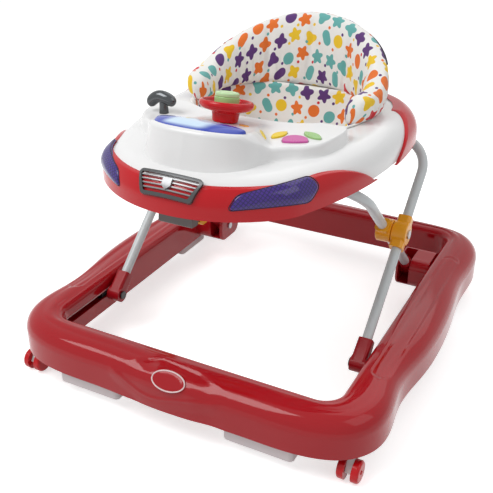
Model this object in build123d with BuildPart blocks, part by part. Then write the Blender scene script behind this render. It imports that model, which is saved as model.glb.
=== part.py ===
from build123d import *
import os
from math import atan2, copysign, cos, degrees, hypot, radians, sin, sqrt

os.makedirs("parts", exist_ok=True)

# A folding baby walker: a ring base on four casters, two U-shaped leg frames that cross like
# scissors, and a tray with a toy dashboard and a padded seat. Front is -Y, the floor is Z = 0.

# Driving dimensions, in millimetres and degrees
base_bottom = 44
base_top = 106
base_wall = 3
base_outer_edge = 28
base_inner_edge = 13
base_inner_half_width = 243
base_inner_front = -283
base_inner_rear = 300
base_inner_corner = 30
base_reach = 352.5

pivot_height = 75
rear_pivot_y = 189
leg_rise = 41.93
lower_arm = 224.5
upper_arm = 171.4
tube_radius = 8
tube_wall = 1.5
tube_bend = 60
front_leg_x = 226.5
rear_leg_x = 199
pin_radius = 4

tray_bottom = 350
tray_top = 400
tray_edge = 38
tray_wall = 3.2
tray_half_width = 211
tray_widest = 27
tray_side_radius = 630
tray_rear_turn = 7
tray_rear_corner = 125
tray_rear_radius = 270
tray_corner_radius = 70
tray_nose_radius = 200
tray_nose = -310
opening_size = (296, 228)
opening_corner = 108
opening_centre = 36

fit = 0.05
gap = 0.4
sides = (-1, 1)
side_names = ("left", "right")

# Points of the leg scissors at rest, as y and z
run = cos(radians(leg_rise))
rise = sin(radians(leg_rise))
cross_y = rear_pivot_y - lower_arm * run
cross_z = pivot_height + lower_arm * rise
front_pivot_y = cross_y - lower_arm * run
bar_z = cross_z + upper_arm * rise
rear_bar_y = cross_y + upper_arm * run
front_bar_y = cross_y - upper_arm * run


def keep(builder, name):
    """Label a finished sub-part and write its STEP file."""
    builder.part.label = name
    export_step(builder.part, f"parts/{name}.step")


def across(x, y, z):
    """Location whose Z axis lies along +X, for pins and bores that run across the walker."""
    return Location((x, y, z), (0, 90, 0))


# Base shell, open below, with webs for the friction pads and bosses for the casters

base_half_outline = [
    (0, -348.8), (120, -343.3), (226, -338.3), (279, -316.3), (305, -280), (310, -232),
    (304, -176), (313, -85), (317, 5), (312, 90), (306, 165), (308, 235),
    (300, 291), (268, 330), (215, 344), (110, 347), (0, base_reach),
]
caster_points = [(x, y) for y in (-292, 296) for x in (-278, 278)]
caster_names = ("front_left", "front_right", "rear_left", "rear_right")
boss_radius = 13
bush_radius = 7
bush_height = 36
pad_web = 60
pad_drop = 42
front_pad = (112, 44)
side_pad = (40, 90)
pad_places = [(-148, -313, front_pad), (148, -313, front_pad), (-275, 165, side_pad), (275, 165, side_pad)]
slot_height = 12.6
slot_front = front_pivot_y - 116
slot_rear = front_pivot_y + 8
slot_length = slot_rear - slot_front
panel_x = 266


def base_ring(inset, top):
    """Ring of the base, drawn in from its outer form by an inset and rounded along its top."""
    shrink = 1 - inset / base_reach
    right = [(x * shrink, y * shrink) for x, y in base_half_outline]
    left = [(-x, y) for x, y in reversed(right[1:-1])]
    inner_width = 2 * (base_inner_half_width + inset)
    inner_length = base_inner_rear - base_inner_front + 2 * inset
    with BuildPart() as ring:
        with BuildSketch(Plane.XY.offset(base_bottom)):
            with BuildLine():
                Spline(*right, *left, periodic=True)
            make_face()
            with Locations((0, (base_inner_front + base_inner_rear) / 2)):
                RectangleRounded(inner_width, inner_length, base_inner_corner + inset, mode=Mode.SUBTRACT)
        extrude(amount=top - base_bottom)
        roof = ring.faces().sort_by(Axis.Z)[-1]
        fillet(roof.outer_wire().edges(), radius=base_outer_edge - inset)
        roof = ring.faces().sort_by(Axis.Z)[-1]
        fillet(roof.inner_wires()[0].edges(), radius=base_inner_edge - inset)
    return ring.part


base_form = base_ring(0, base_top)
base_hollow = base_ring(base_wall, base_top - base_wall)

with BuildPart() as base_cavity:
    add(base_hollow)
    for x, y, size in pad_places:
        with Locations((x, y, pad_web + base_wall / 2)):
            Box(size[0] + 40, size[1] + 40, base_wall, mode=Mode.SUBTRACT)
    with BuildSketch(Plane.XY.offset(base_bottom)):
        with Locations(*caster_points):
            Circle(boss_radius)
    extrude(amount=base_top - base_bottom, mode=Mode.SUBTRACT)

with BuildPart() as base_shell:
    add(base_form)
    add(base_cavity.part, mode=Mode.SUBTRACT)
    with BuildSketch(Plane.XY.offset(base_bottom)):
        with Locations(*caster_points):
            Circle(bush_radius)
    extrude(amount=bush_height + 1, mode=Mode.SUBTRACT)
    # Slots in the inner walls, where the studs of the front feet slide
    with BuildSketch(Plane.YZ):
        with Locations(((slot_front + slot_rear) / 2, pivot_height)):
            SlotOverall(slot_length + slot_height, slot_height)
    extrude(amount=base_inner_half_width + base_wall + 1, both=True, mode=Mode.SUBTRACT)
    # Long shallow panels on top of the side rails
    with BuildSketch(Plane.XY.offset(base_top)):
        with Locations((-panel_x, 20), (panel_x, 20)):
            SlotOverall(330, 17, rotation=90)
    extrude(amount=-1.2, mode=Mode.SUBTRACT)
keep(base_shell, "base_shell")

with BuildPart() as brake_pads:
    for x, y, size in pad_places:
        with BuildSketch(Plane.XY.offset(pad_web)):
            with Locations((x, y)):
                RectangleRounded(*size, 8)
        extrude(amount=-pad_drop)
    fillet(brake_pads.faces().filter_by(Axis.Z).group_by(Axis.Z)[0].edges(), radius=4)
keep(brake_pads, "brake_pads")

with BuildPart() as caster_bushes:
    with BuildSketch(Plane.XY.offset(base_bottom)):
        with Locations(*caster_points):
            Circle(bush_radius - fit)
    extrude(amount=bush_height)
    with BuildSketch(Plane.XY.offset(base_bottom)):
        with Locations(*caster_points):
            Circle(boss_radius - 2)
    extrude(amount=-2)
    with BuildSketch(Plane.XY.offset(base_bottom - 2)):
        with Locations(*caster_points):
            Circle(5 + fit)
    extrude(amount=bush_height, mode=Mode.SUBTRACT)
keep(caster_bushes, "caster_bushes")

# Tracks that guide the front feet inside the side rails
track_inside = base_inner_half_width + base_wall
track_depth = 24
track_wall = 2.6
slider_half_height = 10
track_margin = 16
for side, side_name in zip(sides, side_names):
    with BuildPart() as foot_track:
        with BuildSketch(Plane.XZ.offset(track_margin - slot_front)):
            with Locations((side * (track_inside + track_depth / 2), pivot_height)):
                Rectangle(track_depth, 2 * (slider_half_height + gap + track_wall))
            with Locations((side * (track_inside + track_depth / 2 - track_wall), pivot_height)):
                Rectangle(track_depth, 2 * (slider_half_height + gap), mode=Mode.SUBTRACT)
        extrude(amount=-(slot_length + 2 * track_margin + 12))
    keep(foot_track, f"foot_track_{side_name}")

# Rear sockets: rounded bosses on the inner walls, each a clevis round the foot of a rear leg
cheek = 5
eye_half = 10
eye_radius = 12
socket_size = (74, 56)
socket_end = rear_leg_x - eye_half - gap - cheek
with BuildPart() as rear_sockets:
    for side in sides:
        with BuildSketch(Plane.YZ.offset(side * base_inner_half_width)):
            with Locations((rear_pivot_y + 4, pivot_height)):
                RectangleRounded(*socket_size, 20)
        extrude(amount=-side * (base_inner_half_width - socket_end))
    for socket_face in rear_sockets.faces().filter_by(Axis.X).group_by(Axis.X)[1:3]:
        fillet(socket_face.edges(), radius=4)
    with BuildSketch(Plane.XZ.offset(60 - rear_pivot_y)):
        for side in sides:
            with Locations((side * rear_leg_x, pivot_height + 8)):
                Rectangle(2 * (eye_half + gap), socket_size[1])
    extrude(amount=-82, mode=Mode.SUBTRACT)
    for side in sides:
        with Locations(across(side * rear_leg_x, rear_pivot_y, pivot_height)):
            Cylinder(pin_radius, 60, mode=Mode.SUBTRACT)
keep(rear_sockets, "rear_sockets")

with BuildPart() as rear_pivot_pins:
    for side in sides:
        with Locations(across(side * (socket_end + 18), rear_pivot_y, pivot_height)):
            Cylinder(pin_radius - fit, 36)
        with Locations(across(side * (socket_end - 1.5), rear_pivot_y, pivot_height)):
            Cylinder(6.5, 3)
keep(rear_pivot_pins, "rear_pivot_pins")

# Casters: a fork plate on a stem, and twin wheels on one axle
wheel_radius = 17
wheel_width = 11
axle_radius = 3
stem_radius = 5
fork_half = 5
trail = 12
collar_top = base_bottom - 2 - gap
for (x, y), name in zip(caster_points, caster_names):
    axle_y = y - trail
    with BuildPart() as caster_fork:
        with BuildSketch(Plane.XY.offset(collar_top)):
            with Locations((x, y)):
                Circle(10)
        extrude(amount=-5)
        with BuildSketch(Plane.XY.offset(collar_top - 1)):
            with Locations((x, y)):
                Circle(stem_radius)
        extrude(amount=bush_height - 3)
        with BuildSketch(Plane.YZ.offset(x - fork_half)):
            with BuildLine():
                FilletPolyline(
                    (y + 9, collar_top - 2), (y - 9, collar_top - 2), (axle_y - 10, wheel_radius),
                    (axle_y - 2, wheel_radius - 9), (axle_y + 7, wheel_radius - 6), radius=2.5, close=True,
                )
            make_face()
        extrude(amount=2 * fork_half)
        with Locations(across(x, axle_y, wheel_radius)):
            Cylinder(axle_radius + fit, 20, mode=Mode.SUBTRACT)
    keep(caster_fork, f"caster_fork_{name}")
    with BuildPart() as caster_wheels:
        for side in sides:
            with BuildSketch(Plane.YZ.offset(x + side * (fork_half + gap))):
                with Locations((axle_y, wheel_radius)):
                    Circle(wheel_radius)
            extrude(amount=side * wheel_width)
        wheel_faces = caster_wheels.faces().filter_by(Axis.X).sort_by(Axis.X)
        fillet(wheel_faces[0].edges() + wheel_faces[-1].edges(), radius=4)
        with Locations(across(x, axle_y, wheel_radius)):
            Cylinder(axle_radius, 2 * (fork_half + gap + wheel_width) + 2)
    keep(caster_wheels, f"caster_wheels_{name}")


# Leg frames: steel tubes bent to a U, each lying in one sloping plane


def leg_plane(x, pivot_y, lean):
    """Plane across a leg tube at its foot pivot; its Z axis climbs along the leg."""
    return Plane(origin=(x, pivot_y, pivot_height), x_dir=(1, 0, 0), z_dir=(0, run * lean, rise))


def leg_frame(pivot_y, leg_x, lean):
    """U-shaped tube from one foot over the crossbar to the other, drilled for the cross pins."""
    foot = leg_plane(0, pivot_y, lean)
    slope = Plane(origin=foot.origin, x_dir=(1, 0, 0), z_dir=Vector(1, 0, 0).cross(foot.z_dir))
    bar = lower_arm + upper_arm
    with BuildPart() as frame:
        with BuildLine(slope) as route:
            FilletPolyline((-leg_x, 6), (-leg_x, bar), (leg_x, bar), (leg_x, 6), radius=tube_bend)
        with BuildSketch(Plane(origin=route.line @ 0, z_dir=route.line % 0)):
            Circle(tube_radius)
            Circle(tube_radius - tube_wall, mode=Mode.SUBTRACT)
        sweep(path=route.line)
        for side in sides:
            with Locations(across(side * leg_x, cross_y, cross_z)):
                Cylinder(pin_radius + fit, 4 * tube_radius, mode=Mode.SUBTRACT)
    return frame


rear_leg_frame = leg_frame(rear_pivot_y, rear_leg_x, -1)
keep(rear_leg_frame, "rear_leg_frame")
front_leg_frame = leg_frame(front_pivot_y, front_leg_x, 1)
keep(front_leg_frame, "front_leg_frame")


def leg_feet(leg_x, pivot_y, lean, eye, half_width, depths):
    """Pair of moulded feet: an eye on the pivot and a sleeve that tapers up the tube."""
    with BuildPart() as feet:
        for side in sides:
            with Locations(across(side * leg_x, pivot_y, pivot_height)):
                Cylinder(eye, 2 * half_width)
        for side in sides:
            foot = leg_plane(side * leg_x, pivot_y, lean)
            with BuildSketch(foot):
                RectangleRounded(2 * half_width, depths[0], 5)
            with BuildSketch(foot.offset(40)):
                RectangleRounded(2 * half_width - 1, depths[1], 5)
            loft(ruled=True)
            with BuildSketch(foot.offset(5.9)):
                Circle(tube_radius + fit)
            extrude(amount=50, mode=Mode.SUBTRACT)
            with Locations(across(side * leg_x, pivot_y, pivot_height)):
                Cylinder(pin_radius + fit, 40, mode=Mode.SUBTRACT)
    return feet


rear_feet = leg_feet(rear_leg_x, rear_pivot_y, -1, eye_radius, eye_half, (22, 20))
keep(rear_feet, "rear_feet")
front_feet = leg_feet(front_leg_x, front_pivot_y, 1, 13, 12, (26, 22))
keep(front_feet, "front_feet")

# Sliders: blocks that run in the tracks, with a headed stud through each front foot
slider_near = track_inside + gap
slider_width = track_depth - track_wall - 2 * gap
stud_end = front_leg_x - 15
for side, side_name in zip(sides, side_names):
    with BuildPart() as foot_slider:
        with Locations((side * (slider_near + slider_width / 2), front_pivot_y, pivot_height)):
            Box(slider_width, 32, 2 * slider_half_height)
        fillet(foot_slider.edges().filter_by(Axis.X), radius=3)
        with Locations(across(side * (slider_near + stud_end) / 2, front_pivot_y, pivot_height)):
            Cylinder(pin_radius, slider_near - stud_end)
        with Locations(across(side * (stud_end + 1), front_pivot_y, pivot_height)):
            Cylinder(7, 2.4)
    keep(foot_slider, f"foot_slider_{side_name}")

# Crossing brackets: a disc and a clamp sleeve on each tube, turning on one pin
bracket_meeting = (front_leg_x + rear_leg_x) / 2
inner_faces = (rear_leg_x - 11.5, bracket_meeting - gap)
outer_faces = (bracket_meeting + gap, front_leg_x + 11)


def bracket_pair(leg_x, faces, lean):
    """Bracket halves of both sides: thick rounded discs with sleeves along their tubes."""
    width = faces[1] - faces[0]
    with BuildPart() as halves:
        for side in sides:
            with BuildSketch(Plane.YZ.offset(side * faces[0])):
                with Locations((cross_y, cross_z)):
                    Circle(19)
            extrude(amount=side * width)
        fillet(halves.edges().filter_by(GeomType.CIRCLE), radius=2)
        for side in sides:
            middle = (side * sum(faces) / 2, cross_y, cross_z)
            with BuildSketch(Plane(origin=middle, x_dir=(1, 0, 0), z_dir=(0, run * lean, rise))):
                RectangleRounded(width - 2, 23, 6)
            extrude(amount=28, both=True)
        for side in sides:
            centre = (side * leg_x, cross_y, cross_z)
            with BuildSketch(Plane(origin=centre, x_dir=(1, 0, 0), z_dir=(0, run * lean, rise))):
                Circle(tube_radius + fit)
            extrude(amount=40, both=True, mode=Mode.SUBTRACT)
            with Locations(across(*centre)):
                Cylinder(pin_radius + fit, 60, mode=Mode.SUBTRACT)
    return halves


inner_brackets = bracket_pair(rear_leg_x, inner_faces, -1)
keep(inner_brackets, "inner_brackets")
outer_brackets = bracket_pair(front_leg_x, outer_faces, 1)
keep(outer_brackets, "outer_brackets")

with BuildPart() as cross_pins:
    for side in sides:
        with Locations(across(side * (inner_faces[0] + outer_faces[1]) / 2, cross_y, cross_z)):
            Cylinder(pin_radius, outer_faces[1] - inner_faces[0] + 2 * gap)
        with Locations(across(side * (inner_faces[0] - gap - 1.2), cross_y, cross_z)):
            Cylinder(7, 2.4)
        with Locations(across(side * (outer_faces[1] + 1.2), cross_y, cross_z)):
            Cylinder(7, 2.4)
keep(cross_pins, "cross_pins")

# Glides: sleeves on the front crossbar that slide in the rails under the tray
glide_x = 75
glide_half_width = 8
glide_half_height = 10.5
with BuildPart() as crossbar_glides:
    with Locations((-glide_x, front_bar_y, bar_z), (glide_x, front_bar_y, bar_z)):
        Box(2 * glide_half_width, 22, 2 * glide_half_height)
    fillet(crossbar_glides.edges().filter_by(Axis.X), radius=4)
    with Locations(across(0, front_bar_y, bar_z)):
        Cylinder(tube_radius + fit, 300, mode=Mode.SUBTRACT)
keep(crossbar_glides, "crossbar_glides")


# Tray deck: a rounded shell, open below, with a collar round the seat opening


def tray_line(grow):
    """Closed outline of the tray: rear, rear corner, side, corner and nose arcs, tangent to each other."""
    side_centre = (tray_half_width - tray_side_radius, tray_widest)
    to_rear = tray_side_radius - tray_rear_corner
    rear_x = side_centre[0] + to_rear * cos(radians(tray_rear_turn))
    rear_y = side_centre[1] + to_rear * sin(radians(tray_rear_turn))
    rear_drop = sqrt((tray_rear_radius - tray_rear_corner) ** 2 - rear_x**2)
    rear_end = degrees(atan2(rear_drop, rear_x))
    nose_centre = (0, tray_nose + tray_nose_radius)
    to_side = tray_side_radius - tray_corner_radius
    to_nose = tray_nose_radius - tray_corner_radius
    span = hypot(nose_centre[0] - side_centre[0], nose_centre[1] - side_centre[1])
    along_x = (nose_centre[0] - side_centre[0]) / span
    along_y = (nose_centre[1] - side_centre[1]) / span
    reach = (to_side**2 - to_nose**2 + span**2) / (2 * span)
    drop = sqrt(to_side**2 - reach**2)
    corner_x = side_centre[0] + reach * along_x + drop * along_y
    corner_y = side_centre[1] + reach * along_y - drop * along_x
    side_end = degrees(atan2(corner_y - side_centre[1], corner_x - side_centre[0]))
    nose_end = degrees(atan2(corner_y - nose_centre[1], corner_x - nose_centre[0]))
    CenterArc((0, rear_y - rear_drop), tray_rear_radius + grow, rear_end, 180 - 2 * rear_end)
    for centre, radius, start, end in (
        ((rear_x, rear_y), tray_rear_corner, rear_end, tray_rear_turn),
        (side_centre, tray_side_radius, tray_rear_turn, side_end),
        ((corner_x, corner_y), tray_corner_radius, side_end, nose_end),
        (nose_centre, tray_nose_radius, nose_end, -90),
    ):
        CenterArc(centre, radius + grow, start, end - start)
        CenterArc((-centre[0], centre[1]), radius + grow, 180 - start, start - end)


def tray_body(grow, bottom):
    """Outer form of the tray, grown outwards by a distance and rounded along its top."""
    with BuildPart() as body:
        with BuildSketch(Plane.XY.offset(bottom)):
            with BuildLine():
                tray_line(grow)
            make_face()
        extrude(amount=tray_top + grow - bottom)
        fillet(body.faces().sort_by(Axis.Z)[-1].edges(), radius=tray_edge + grow)
    return body.part


deck_form = tray_body(0, tray_bottom)
deck_hollow = tray_body(-tray_wall, tray_bottom - 1)
collar_drop = 26
collar_size = [size + 2 * tray_wall for size in opening_size]

with BuildPart() as deck_cavity:
    add(deck_hollow)
    with BuildSketch(Plane.XY.offset(tray_top)):
        with Locations((0, opening_centre)):
            RectangleRounded(*collar_size, opening_corner + tray_wall)
    extrude(amount=-collar_drop, mode=Mode.SUBTRACT)

with BuildPart() as tray_deck:
    add(deck_form)
    add(deck_cavity.part, mode=Mode.SUBTRACT)
    with BuildSketch(Plane.XY.offset(tray_top)):
        with Locations((0, opening_centre)):
            RectangleRounded(*opening_size, opening_corner)
    extrude(amount=-collar_drop - 1, mode=Mode.SUBTRACT)
    deck_face = tray_deck.faces().filter_by(Axis.Z).sort_by(Axis.Z)[-1]
    fillet(deck_face.inner_wires()[0].edges(), radius=2.5)
keep(tray_deck, "tray_deck")

# Bumpers: skins over the rim of the deck, cut to shape in side view
skin = 4.6
skin_seat = 0.15
bumper_low = 348
seam_height = 391
rear_seam_height = 396.5
lens_plane = Plane(origin=(130, -252, 378), x_dir=(0.66, 0.75, 0), z_dir=(0.70, -0.62, 0.36))
lens_corners = [(-64, -11), (-50, 8), (54, 19), (67, 4), (48, -16)]
grille_plane = Plane(origin=(0, -298, 381), x_dir=(1, 0, 0), z_dir=(0, -1, 1))
grille_corners = [(-39, -18), (-51, 16), (51, 16), (39, -18)]


def rim_skin(inside, outside):
    """Skin round the tray's rim, between two grown forms."""
    outer_form = tray_body(outside, bumper_low)
    inner_form = tray_body(inside, bumper_low - 1)
    with BuildPart() as skin_ring:
        add(outer_form)
        add(inner_form, mode=Mode.SUBTRACT)
    return skin_ring.part


def lens_prisms(grow):
    """Prisms through both headlight windows, square to the bumper."""
    with BuildPart() as prisms:
        with BuildSketch(lens_plane):
            with BuildLine():
                FilletPolyline(*lens_corners, radius=7, close=True)
            make_face()
            if grow:
                offset(amount=grow)
        extrude(amount=40, both=True)
        mirror(about=Plane.YZ)
    return prisms.part


seam_start = -205
seam_middle = (-130, 380)
seam_foot = (-72, bumper_low - 1)
rear_seam_start = 108
rear_seam_middle = (62, 374)
rear_seam_foot = (14, bumper_low - 1)
bumper_reach = 330
lens_crown = 1.6

rim = rim_skin(skin_seat, skin)
lens_rim = rim_skin(skin_seat, skin + lens_crown)
lens_windows = lens_prisms(gap)
lens_bodies = lens_prisms(0)

with BuildPart() as front_bumper:
    add(rim)
    with BuildSketch(Plane.YZ):
        with BuildLine():
            Polyline(
                seam_foot, (-bumper_reach, bumper_low - 1), (-bumper_reach, seam_height),
                (seam_start, seam_height),
            )
            ThreePointArc((seam_start, seam_height), seam_middle, seam_foot)
        make_face()
    extrude(amount=bumper_reach, both=True, mode=Mode.INTERSECT)
    add(lens_windows, mode=Mode.SUBTRACT)
keep(front_bumper, "front_bumper")

with BuildPart() as rear_bumper:
    add(rim)
    with BuildSketch(Plane.YZ):
        with BuildLine():
            Polyline(
                rear_seam_foot, (bumper_reach, bumper_low - 1), (bumper_reach, rear_seam_height),
                (rear_seam_start, rear_seam_height),
            )
            ThreePointArc((rear_seam_start, rear_seam_height), rear_seam_middle, rear_seam_foot)
        make_face()
    extrude(amount=bumper_reach, both=True, mode=Mode.INTERSECT)
keep(rear_bumper, "rear_bumper")

with BuildPart() as headlights:
    add(lens_rim)
    add(lens_bodies, mode=Mode.INTERSECT)
for side, side_name in zip(sides, side_names):
    with BuildPart() as headlight:
        add(headlights.solids().sort_by(Axis.X)[0 if side < 0 else -1])
    keep(headlight, f"headlight_{side_name}")


def grille_outline(margin):
    """Corners of the grille outline, drawn in by a margin on every side."""
    return [(x - copysign(margin, x), y - copysign(margin, y)) for x, y in grille_corners]


grille_rail = 4.5
bar_pitch = 5.4
bar_count = 4
bar_height = 1.8
frame_rise = 4
bar_rise = 2.6
shield_rise = 5
shield_corners = [(-7, 8), (7, 8), (7, -3), (0, -9), (-7, -3)]

with BuildPart() as frame_prism:
    with BuildSketch(grille_plane):
        with BuildLine():
            FilletPolyline(*grille_outline(0), radius=6, close=True)
        make_face()
        with BuildLine():
            FilletPolyline(*grille_outline(grille_rail), radius=3, close=True)
        make_face(mode=Mode.SUBTRACT)
    extrude(amount=30, both=True)

with BuildPart() as bar_prism:
    with BuildSketch(grille_plane):
        with GridLocations(0, bar_pitch, 1, bar_count):
            Rectangle(110, bar_height)
        with BuildLine():
            FilletPolyline(*grille_outline(grille_rail + skin_seat), radius=3, close=True)
        make_face(mode=Mode.INTERSECT)
        with BuildLine():
            FilletPolyline(*shield_corners, radius=2, close=True)
        make_face(mode=Mode.SUBTRACT)
    extrude(amount=30, both=True)

with BuildPart() as shield_prism:
    with BuildSketch(grille_plane):
        with BuildLine():
            FilletPolyline(*shield_corners, radius=2, close=True)
        make_face()
        offset(amount=-skin_seat, mode=Mode.REPLACE)
    extrude(amount=30, both=True)

frame_rim = rim_skin(skin + skin_seat, skin + frame_rise)
bar_rim = rim_skin(skin + skin_seat, skin + bar_rise)
shield_rim = rim_skin(skin + skin_seat, skin + shield_rise)

with BuildPart() as grille_frame:
    add(frame_rim)
    add(frame_prism.part, mode=Mode.INTERSECT)
keep(grille_frame, "grille_frame")

with BuildPart() as grille_bars:
    add(bar_rim)
    add(bar_prism.part, mode=Mode.INTERSECT)
keep(grille_bars, "grille_bars")

with BuildPart() as grille_shield:
    add(shield_rim)
    add(shield_prism.part, mode=Mode.INTERSECT)
keep(grille_shield, "grille_shield")

# Rails under the tray, in which the glides of the front crossbar slide
rail_roof = tray_top - tray_wall
rail_front = front_bar_y - 100
rail_rear = front_bar_y + 16
rail_wall = 3.6
with BuildPart() as glide_rails:
    with BuildSketch(Plane.XZ.offset(-rail_rear)):
        for side in sides:
            web_x = side * (glide_x + glide_half_width + gap + rail_wall / 2)
            low = bar_z - glide_half_height - gap - rail_wall
            with Locations((web_x, (low + rail_roof) / 2)):
                Rectangle(rail_wall, rail_roof - low)
            for ledge in sides:
                ledge_z = bar_z + ledge * (glide_half_height + gap + rail_wall / 2)
                with Locations((side * glide_x, ledge_z)):
                    Rectangle(2 * glide_half_width + 2 * gap + rail_wall, rail_wall)
    extrude(amount=rail_rear - rail_front)
    with BuildSketch(Plane.YZ):
        with Locations(((rail_front + rail_rear) / 2 + 2, bar_z)):
            SlotOverall(rail_rear - rail_front - 8, 2 * tube_radius + 1.2)
    extrude(amount=120, both=True, mode=Mode.SUBTRACT)
keep(glide_rails, "glide_rails")

# Clamps under the rear of the tray, in which the rear crossbar turns
clamp_x = 95
clamp_half_width = 12
with BuildPart() as hinge_clamps:
    with Locations((-clamp_x, rear_bar_y, bar_z + 4), (clamp_x, rear_bar_y, bar_z + 4)):
        Box(2 * clamp_half_width, 27, 30)
    fillet(hinge_clamps.edges().filter_by(Axis.X), radius=5)
    with BuildSketch(Plane.XY.offset(rail_roof)):
        with Locations((-clamp_x, rear_bar_y + 6), (clamp_x, rear_bar_y + 6)):
            Rectangle(2 * clamp_half_width, 15)
    extrude(amount=-(rail_roof - bar_z - 10))
    with Locations(across(0, rear_bar_y, bar_z)):
        Cylinder(tube_radius + fit, 300, mode=Mode.SUBTRACT)
keep(hinge_clamps, "hinge_clamps")

# Release: a spring-loaded grip in a bracket under the nose of the tray
release_pivot = (-248, 332)
release_half_width = 30
release_wall = 3
release_front = -268
release_rear = -232
release_floor = 320
release_back = 38
release_pin = 2.5
grip_y = -284
with BuildPart() as release_bracket:
    for side in sides:
        with BuildSketch(Plane.YZ.offset(side * release_half_width)):
            with BuildLine():
                FilletPolyline(
                    (release_front, rail_roof), (release_rear - 4, rail_roof),
                    (release_rear, release_floor + 4), (release_front - 4, release_floor),
                    radius=4, close=True,
                )
            make_face()
        extrude(amount=-side * release_wall)
    with BuildSketch(Plane.YZ):
        with BuildLine():
            Polyline(
                (release_front, release_floor), (release_rear, release_floor + 2),
                (release_rear, release_floor + 2 + release_wall),
                (release_front, release_floor + release_wall), close=True,
            )
        make_face()
    extrude(amount=release_half_width, both=True)
    with Locations((0, release_rear - 2, release_floor + 2 + release_back / 2)):
        Box(2 * release_half_width, 4, release_back)
    with Locations(across(0, *release_pivot)):
        Cylinder(release_pin + fit, 100, mode=Mode.SUBTRACT)
keep(release_bracket, "release_bracket")

with BuildPart() as release_grip:
    with BuildSketch(Plane.YZ):
        with BuildLine():
            FilletPolyline(
                (grip_y - 9, 324), (grip_y - 7, 338), (grip_y + 6, 338), (grip_y + 9, 334.5),
                (release_pivot[0] + 5, 336), (release_pivot[0] + 5, 328.5), (grip_y + 10, 327.5),
                (grip_y + 6, 323), radius=2.2, close=True,
            )
        make_face()
    extrude(amount=release_half_width - release_wall - gap, both=True)
    with Locations(across(0, *release_pivot)):
        Cylinder(release_pin, 2 * release_half_width)
keep(release_grip, "release_grip")

# Dashboard: a raised pod over a low crescent, both seated on the deck
dash_slope = 12.3
dash_crest = (0, -250, 449)
dash_normal = (0, sin(radians(dash_slope)), cos(radians(dash_slope)))
dash_plane = Plane(origin=dash_crest, x_dir=(1, 0, 0), z_dir=dash_normal)
dash_wall = 5
dash_foot = 388
pod_rise = 70
pod_draft = 15
wing_top = 418
wing_cut = [size + 16 for size in opening_size]
wing_cut_corner = opening_corner + 8
well_wall = 4
screen_seat = 2
wheel_reach = 102
wheel_centre = dash_plane.from_local_coords((0, wheel_reach, 0))
wheel_plane = Plane(origin=wheel_centre, x_dir=(1, 0, 0), z_dir=dash_normal)
shaft_radius = 7
shaft_depth = 18
gear_ball = (-117, -131, 420)
gear_ball_radius = 9
stick_height = 18
stick_radii = (7.5, 6)
hook_radius = 8
horn_radius = 18.2
horn_height = 29
horn_seat = 14.5
button_depth = 5.5
button_travel = 2.5
pod_corners = [
    (-48, -94), (-66, -142), (-104, -190), (-95, -248), (0, -288),
    (95, -248), (104, -190), (66, -142), (48, -94),
]
pod_radii = [24, 30, 30, 40, 150, 40, 30, 30, 24]
wing_corners = [(-170, -60), (-155, -167), (-64, -236), (64, -236), (155, -167), (170, -60)]
wing_radii = [18, 50, 34, 34, 50, 18]


def rounded_face(corners, radii):
    """Face inside a closed polygon with its own rounding at each corner."""
    with BuildSketch() as rounded:
        with BuildLine():
            FilletPolyline(*corners, radius=radii, close=True)
        make_face()
    return rounded.sketch


pod_face = rounded_face(pod_corners, pod_radii)
wing_face = rounded_face(wing_corners, wing_radii)

with BuildSketch() as screen_crescent:
    with BuildLine():
        ThreePointArc((-74, 33), (0, 5), (74, 33))
        ThreePointArc((74, 33), (0, 27), (-74, 33))
    make_face()
screen_face = screen_crescent.sketch


def button_face(centre, turn, half_chord, upper, lower, grow):
    """Face of a button between two arcs over one chord, turned about its centre and grown outwards."""
    half = half_chord + 2 * grow
    with BuildSketch() as face:
        with BuildLine():
            ThreePointArc((-half, 0), (0, upper + grow), (half, 0))
            ThreePointArc((half, 0), (0, -lower - grow), (-half, 0))
        make_face()
    return face.sketch.moved(Location((*centre, 0), (0, 0, turn)))


# Toy buttons: centre, turn, half chord, and the rise of the arc on each side of the chord
button_shapes = {
    "button_yellow": ((84, -143), 75, 17, 9, 6),
    "button_pink": ((115.5, -159), 27.7, 16.5, 26, 2),
    "button_green": ((126, -124), -27, 18, 9, 8),
}
well_circles = [((84, -143), 23), ((110, -148), 22.5), ((126, -124), 24)]

with BuildPart() as dash_pod:
    with BuildSketch(Plane.XY.offset(dash_foot)):
        add(pod_face)
    extrude(amount=pod_rise, taper=pod_draft)
    split(bisect_by=dash_plane, keep=Keep.BOTTOM)
    fillet(dash_pod.faces().sort_by_distance(wheel_plane.origin)[0].edges(), radius=5)

with BuildPart() as dash_wings:
    with BuildSketch(Plane.XY.offset(dash_foot)):
        add(wing_face)
    extrude(amount=wing_top - dash_foot)
    fillet(dash_wings.faces().sort_by(Axis.Z)[-1].edges(), radius=4)
    with BuildSketch(Plane.XY.offset(dash_foot)):
        with Locations((0, opening_centre)):
            RectangleRounded(*wing_cut, wing_cut_corner)
    extrude(amount=pod_rise, mode=Mode.SUBTRACT)

# Hollow of the dashboard, round the button wells and the bosses of the wheel and the lever
with BuildPart() as pod_hollow:
    with BuildSketch(Plane.XY.offset(dash_foot)):
        add(pod_face)
        offset(amount=-dash_wall)
    extrude(amount=pod_rise, taper=pod_draft)
    split(bisect_by=dash_plane.offset(-dash_wall), keep=Keep.BOTTOM)

with BuildPart() as wing_hollow:
    with BuildSketch(Plane.XY.offset(dash_foot)):
        add(wing_face)
        offset(amount=-dash_wall)
        with Locations((0, opening_centre)):
            RectangleRounded(*[size + 2 * dash_wall for size in wing_cut], wing_cut_corner + dash_wall,
                             mode=Mode.SUBTRACT)
    extrude(amount=wing_top - dash_wall - dash_foot)

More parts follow.
